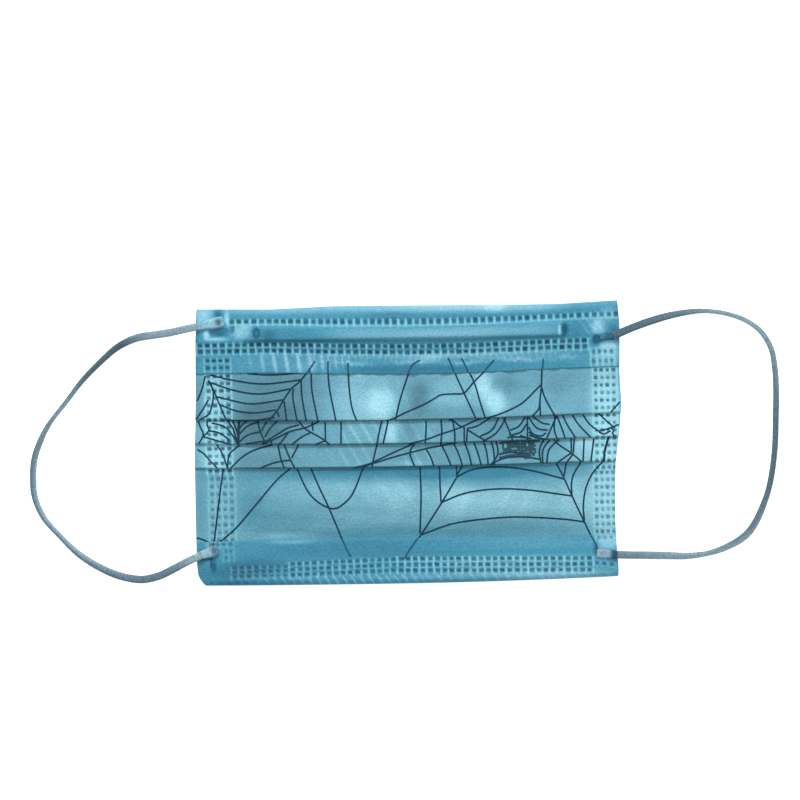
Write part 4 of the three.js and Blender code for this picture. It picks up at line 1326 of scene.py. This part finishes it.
# %% Lines of the webs
NOSE_WEB = [
    [(205, 376), (202, 388), (197, 401)], [(208, 380), (214, 392), (219, 404), (226, 420)],
    [(211, 384), (213, 396), (210, 412), (205, 417), (199, 420)], [(208, 400), (203, 409), (197, 418)],
    [(247, 373.6), (270, 375), (300, 373.2)], [(210, 375), (231, 380), (263, 384), (301, 380)],
    [(208, 382), (236, 391), (261, 394), (290, 389)], [(217, 397), (229, 400), (252, 404), (283, 400)],
    [(220, 405), (236, 411), (255, 413), (276, 410)], [(226, 420), (244, 420.5), (259, 420), (271, 418)],
    [(315, 361), (301, 380), (291, 389), (283, 401), (277, 411), (271, 418)],
    [(277, 411), (279, 417)], [(284, 401), (286.6, 420)], [(293, 389), (293, 400), (297, 420)],
    [(301, 381), (302, 398), (306, 420)], [(311, 371), (312, 392), (318, 421)],
    [(328, 361), (329, 386), (336, 421)], [(348, 363), (349, 387), (352, 408), (357, 421)],
    [(411, 367), (407, 378), (400, 400), (395.5, 420)],
    [(374, 421), (389, 420), (407, 412), (423, 405), (434, 399), (441, 395), (453, 394),
     (464, 393), (474, 382), (486, 370), (496, 359)],
    [(449, 360), (464, 393), (476, 419)], [(463, 361), (474, 382), (480, 402), (485, 418)],
    [(476, 419), (485, 418), (500, 414), (521, 404), (535, 391), (541, 385)],
    [(543, 359), (542, 370), (541.5, 388), (540, 402), (540.5, 416)],
    [(542, 388), (546, 400), (555, 416)], [(540, 402), (538, 410), (532, 416)],
    [(620, 402), (612, 411)],
]
MIDDLE_WEB = [
    [(197.5, 420), (200, 427), (203, 435), (199, 443)], [(206.7, 420), (207, 426), (209, 430), (203, 437)],
    [(209, 431), (216, 432), (222.5, 435), (229, 440)], [(203, 437), (211, 439), (219, 441.5), (229, 444)],
    [(215, 424), (221.6, 425.7), (227.6, 429.5), (232.8, 436), (237, 443)],
    [(227, 421), (231, 426), (234, 432), (237, 443)], [(232, 421), (236, 429), (238, 436)],
    [(238.3, 420.5), (237.9, 432), (237.5, 444)], [(239.3, 420.5), (238.9, 432), (238.5, 444)],
    [(247, 421), (242, 425), (239, 429)], [(256, 423), (247, 426.5), (239.6, 434)],
    [(260, 432), (251, 434), (244, 437.6), (238.7, 443)], [(257.5, 421), (260, 431), (264.4, 441)],
    [(267, 421), (263, 428), (262, 431)], [(277, 421.5), (270.4, 428), (265, 437)],
    [(299, 425), (288, 428), (278, 434), (265, 442)],
    [(318, 422), (310, 426), (303, 428.5), (290, 431.7), (277, 438), (266, 443)],
    [(311, 432.5), (302, 437), (292.6, 444)], [(288, 433), (281.5, 442), (279, 444.5)],
    [(299.5, 422), (304, 428), (311, 432.5), (322.5, 439), (329, 444)],
    [(312, 422), (313, 431)], [(325, 422), (325.5, 440)], [(317, 444), (326, 440.5)],
    [(272, 440), (271, 445)], [(249, 443.4), (262, 441.6), (272, 441)],
    [(341, 422), (341, 444)], [(382, 421), (379, 433), (377, 445)], [(388, 421), (386, 431), (383, 444)],
    [(426, 420), (426, 432), (425, 444)], [(441, 420), (441.8, 433), (440.6, 443)],
    [(402, 445), (425, 440), (440, 434.5), (454, 430), (464, 426), (477, 420), (485, 418)],
    [(446, 419), (453, 421), (459, 425.5), (464, 427.5)], [(453, 422), (454.7, 433), (454.7, 442)],
    [(464.2, 427), (464.2, 442)], [(467.4, 429), (466.5, 442)],
    [(488, 419.5), (477, 426), (467, 428.6)], [(467.7, 430), (479, 437), (486, 441)],
    [(498, 419), (492, 430), (480, 436.5)], [(504, 421), (496.6, 432.7), (485, 440)],
    [(503.5, 418), (508.4, 429), (512, 439)], [(525, 417.5), (519, 426), (510.5, 430.4)],
    [(526.7, 424), (521, 432), (512, 435)], [(527.5, 417), (527.5, 438)],
    [(533, 416.5), (541.5, 422.7), (550, 424.5)], [(529.5, 418), (536.7, 428), (548, 430.4)],
    [(528.5, 427), (533, 434), (541, 436), (546, 433)], [(529, 432), (534.4, 437), (543, 438.6)],
    [(556.6, 416.5), (552.8, 425), (546.8, 438)], [(507, 437.5), (518, 437), (528, 438.2)],
    [(509, 434.5), (516, 437.6)], [(520, 435.4), (527, 437.8)], [(529, 435.6), (541, 438.4)],
    [(611.5, 428.5), (614, 431), (612.5, 433.5), (615, 435.5)],
    [(555, 419), (554.4, 430), (557, 438)], [(557.4, 417), (561.5, 427.4), (565, 438)],
    [(563.3, 416), (567.4, 425), (575, 437)], [(572.7, 415), (579, 425), (590, 436.5)],
    [(582.8, 414), (588.7, 423), (598, 431)], [(598.7, 413.5), (608.7, 422.7), (615, 428)],
    [(598, 431), (607.5, 429), (619, 424.5)], [(599, 432), (604, 434), (611, 431)],
]
LOWER_WEB = [
    [(196.9, 449.6), (203.7, 454), (209.7, 460.7), (218, 469)],
    [(216, 444), (221.6, 453), (225, 461), (227, 467)],
    [(227.5, 467), (228.5, 456.4), (232.8, 450.5), (240, 445)],
    [(231, 468), (242, 457.3), (256, 449.6), (273, 445)], [(278, 445), (280.6, 458), (285, 470)],
    [(284, 445), (290, 459), (294.3, 467), (297, 471)], [(298.5, 445), (291.7, 458)],
    [(256, 470), (273, 463.3), (286.6, 460.7), (291, 460.7)],
    [(377, 445), (374, 457), (372, 468)], [(352, 468), (366, 465), (378, 460), (395, 452), (411, 445)],
    [(366, 466), (378, 462), (398, 456), (425, 449), (440, 446), (456, 443)],
    [(414, 446), (410, 453), (415, 467)], [(426, 449), (431, 458), (434, 467)],
    [(441, 444), (447, 456), (451.5, 467)], [(453.5, 443), (459, 455), (462.5, 466)],
    [(464.3, 442), (469, 454.6), (471.5, 466)], [(473.7, 442), (478.3, 454.6), (481, 465)],
    [(483.3, 441), (486.6, 452), (488, 464)], [(491, 441), (493.7, 451), (494.3, 462)],
    [(495.7, 440), (498, 450), (496.6, 457), (492, 463)],
    [(492, 464), (503.7, 458.5), (522.6, 456.9), (541, 459.5)], [(499, 454.5), (511, 452.5), (525, 453.5)],
    [(544.4, 440), (539.5, 450), (541, 463)], [(550.5, 440), (543, 450), (543, 463)],
    [(557, 442), (549, 450), (547, 462.5)], [(553, 438), (558, 444), (571, 453), (583, 463)],
    [(571.3, 437), (571.5, 452)], [(574.6, 437), (573.3, 453.4)], [(584.6, 436), (583, 462)],
    [(594.7, 435), (591, 461)], [(571, 453.4), (564, 458), (556, 463.5)], [(573.3, 454), (566, 463)],
    [(610, 434), (606.4, 444), (604.2, 454.6), (604.2, 462)],
    [(610.7, 434), (607.1, 444), (604.9, 454.6), (604.9, 462)],
]
CHIN_WEB = [
    [(223, 469), (219, 500), (215, 534), (214, 545)],
    [(290, 469), (277, 480), (255, 506), (236, 528), (219, 543)],
    [(196, 538), (203, 540), (209, 543)],
    [(297, 469), (307, 490), (318, 502), (332, 508.6), (342, 505), (353, 493), (363, 468)],
    [(311, 469), (320, 489), (329, 508), (341, 537), (344, 545)],
    [(420, 467), (421, 495), (420, 534)], [(439.5, 466), (440, 484), (441, 502)],
    [(456.3, 466), (457, 477)], [(462.5, 466), (457, 475)],
    [(457, 477), (442, 502), (421, 535), (413, 546)],
    [(457, 477), (472, 470), (496, 467), (528, 470), (564, 479)],
    [(442, 502), (466, 493), (496, 489), (528, 490), (572, 496)],
    [(421, 535), (452, 524), (485, 519), (518, 517), (560, 519), (585, 522)],
    [(556, 463), (563, 476), (572, 496), (584, 521), (594, 542)], [(566.5, 463), (564, 476)],
    [(582, 461), (574, 474), (571.5, 484), (572, 496)],
    [(604.5, 461), (594.5, 471), (586.4, 487), (583.5, 505), (584.5, 521)],
]
HUB_WEB = [
    [(504, 440), (503, 446), (505, 453)], [(507, 439), (509, 453)], [(511, 439), (510, 447), (512, 453)],
    [(515, 440), (516, 446)], [(519, 439), (518, 446), (521, 453)], [(523, 439), (522, 452)],
    [(526, 438), (525, 447), (528, 459)], [(529, 438), (530, 457)], [(532, 438), (531, 450), (534, 456)],
    [(535, 440), (533, 447), (536, 453)], [(503, 443), (519, 441), (536, 441)], [(508, 445), (523, 444)],
    [(504, 450), (513, 447), (527, 447)], [(526, 450), (531, 445), (536, 446)],
    [(524, 456), (530, 453), (535, 454)],
    [(510, 441), (516, 444), (522, 449)], [(527, 441), (535, 450)], [(525, 459), (527, 455), (531, 458)],
    [(520, 452), (528, 450), (536, 449)], [(504, 441), (511, 445), (508, 450)], [(512, 451), (520, 450)],
]
HUB_THREADS = [
    [(499, 458), (510, 455.5), (524, 455)], [(500, 454.5), (508, 451.5), (520, 453.5)],
]
UNDER_NOSE_HEM = [
    [(304, 377), (309, 370), (315, 361)], [(310, 378), (310, 372), (309, 368)], [(328, 378), (328, 361)],
    [(348, 378), (348, 363)], [(406, 379), (411, 367), (415, 363), (420, 360)],
    [(454, 372), (450, 362), (448, 358)], [(469, 374), (463, 361), (461, 359)],
    [(482, 374), (494, 360)], [(542.5, 370), (543.5, 359)],
]
UNDER_CHIN_HEM = [
    [(215, 536), (212, 553), (211, 568)], [(340, 535), (347, 550), (351, 557)],
    [(420, 535), (411, 548), (403, 560)], [(590, 534), (596, 545), (597, 556)],
]
print("printed lines", sum(map(len, [NOSE_WEB, MIDDLE_WEB, LOWER_WEB, CHIN_WEB, HUB_WEB])))

# %% [markdown]
# A pixel is turned into a place on the mask by the picture's scale and the mask's turn. A
# line that ends close to a fold is drawn on a little, so that it runs under the fold.

# %% From picture to mask
MM_PER_PIXEL = 0.345
PICTURE_MIDDLE = (407.0, 444.6)  # the middle of the mask in the picture
EDGE_REACH = 1.2  # a line that ends this near to a fold runs on under or over it


def from_picture(point):
    """A place in the picture, in pixels, as a place on the mask in millimetres."""
    across = point[0] - PICTURE_MIDDLE[0]
    up = PICTURE_MIDDLE[1] - point[1]
    cos, sin = math.cos(PHOTO_TURN), math.sin(PHOTO_TURN)
    return MM_PER_PIXEL * (across * cos + up * sin), MM_PER_PIXEL * (up * cos - across * sin)


def stretched(points, borders):
    """The line with an end moved on past a border where it ends near one."""
    points = [np.array(p) for p in points]
    for end, before in ((0, 1), (-1, -2)):
        x, y = points[end]
        if min(abs(y - border(x)) for border in borders) < EDGE_REACH:
            way = points[end] - points[before]
            points[end] = points[end] + way / np.linalg.norm(way) * EDGE_REACH
    return points


def border_of(place, rise):
    return lambda x: BODY_HEIGHT * (place + rise * (x / HALF_WIDTH) ** 2)


FOLD_BORDERS = [border_of(*row) for row in PLEATS]
print("picture's middle is at", from_picture(PICTURE_MIDDLE))

# %% [markdown]
# Ink has hardly any thickness, but a ribbon that floats just over the cloth keeps the lines
# sharp and stays with the exported model. A ray from above finds the cloth at each step,
# and the ribbon stops where the ray meets another panel.

# %% Web print
LINE_WIDTH = 0.58
HUB_WIDTH = 0.75
LINE_LIFT = 0.08
LINE_STEP = 0.3


def lay_print(name, strokes, tree, owner, width, material):
    """Ribbons on the faces that owner gives a true value for."""
    points, faces = [], []
    for stroke in strokes:
        route = stretched([from_picture(p) for p in stroke], FOLD_BORDERS)
        route = curve_through(route, LINE_STEP)
        ahead = np.gradient(route, axis=0)
        joined = False
        for (x, y), (run_x, run_y) in zip(route, ahead):
            place, normal, face, _ = tree.ray_cast(Vector((x, y, 30)), Vector((0, 0, -1)))
            if place is None or not owner(face):
                joined = False
                continue
            side = normal.cross(Vector((run_x, run_y, 0))).normalized() * width / 2
            lifted = place + normal * LINE_LIFT
            points += [lifted - side, lifted + side]
            if joined:
                last = len(points) - 1
                faces.append((last - 1, last, last - 2, last - 3))
            joined = True
    piece = new_mesh(name, [tuple(p) for p in points], faces)
    piece.data.materials.append(material)
    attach(piece, "root")
    return piece


def tree_of(mesh):
    corners = [v.co / MM for v in mesh.vertices]
    return BVHTree.FromPolygons(corners, [tuple(p.vertices) for p in mesh.polygons])


panel_tree = tree_of(panel.data)
face_labels = np.repeat(labels[:-1], columns - 1)


def on_panel(number):
    return lambda face: face < len(face_labels) and face_labels[face] == number


def anywhere(_):
    return True


webs = [lay_print(f"web_print_{i + 1}", strokes, panel_tree, on_panel(i), LINE_WIDTH, ink)
        for i, strokes in enumerate([NOSE_WEB, MIDDLE_WEB, LOWER_WEB, CHIN_WEB])]
webs.append(lay_print("web_print_hub", HUB_WEB + HUB_THREADS, panel_tree, on_panel(2), HUB_WIDTH,
                      hub_ink))
webs.append(lay_print("web_shown_through_nose_hem", UNDER_NOSE_HEM, tree_of(top_hem.data),
                      anywhere, LINE_WIDTH, dim_ink))
webs.append(lay_print("web_shown_through_chin_hem", UNDER_CHIN_HEM, tree_of(bottom_hem.data),
                      anywhere, LINE_WIDTH, dim_ink))
print("faces of the print", sum(len(web.data.polygons) for web in webs))

# %% [markdown]
# Real cloth folds but hardly stretches.

# %% Cut sizes
print("panel cut", round(BODY_WIDTH * MM, 4), "by", round(unfolded * MM, 4), "m")
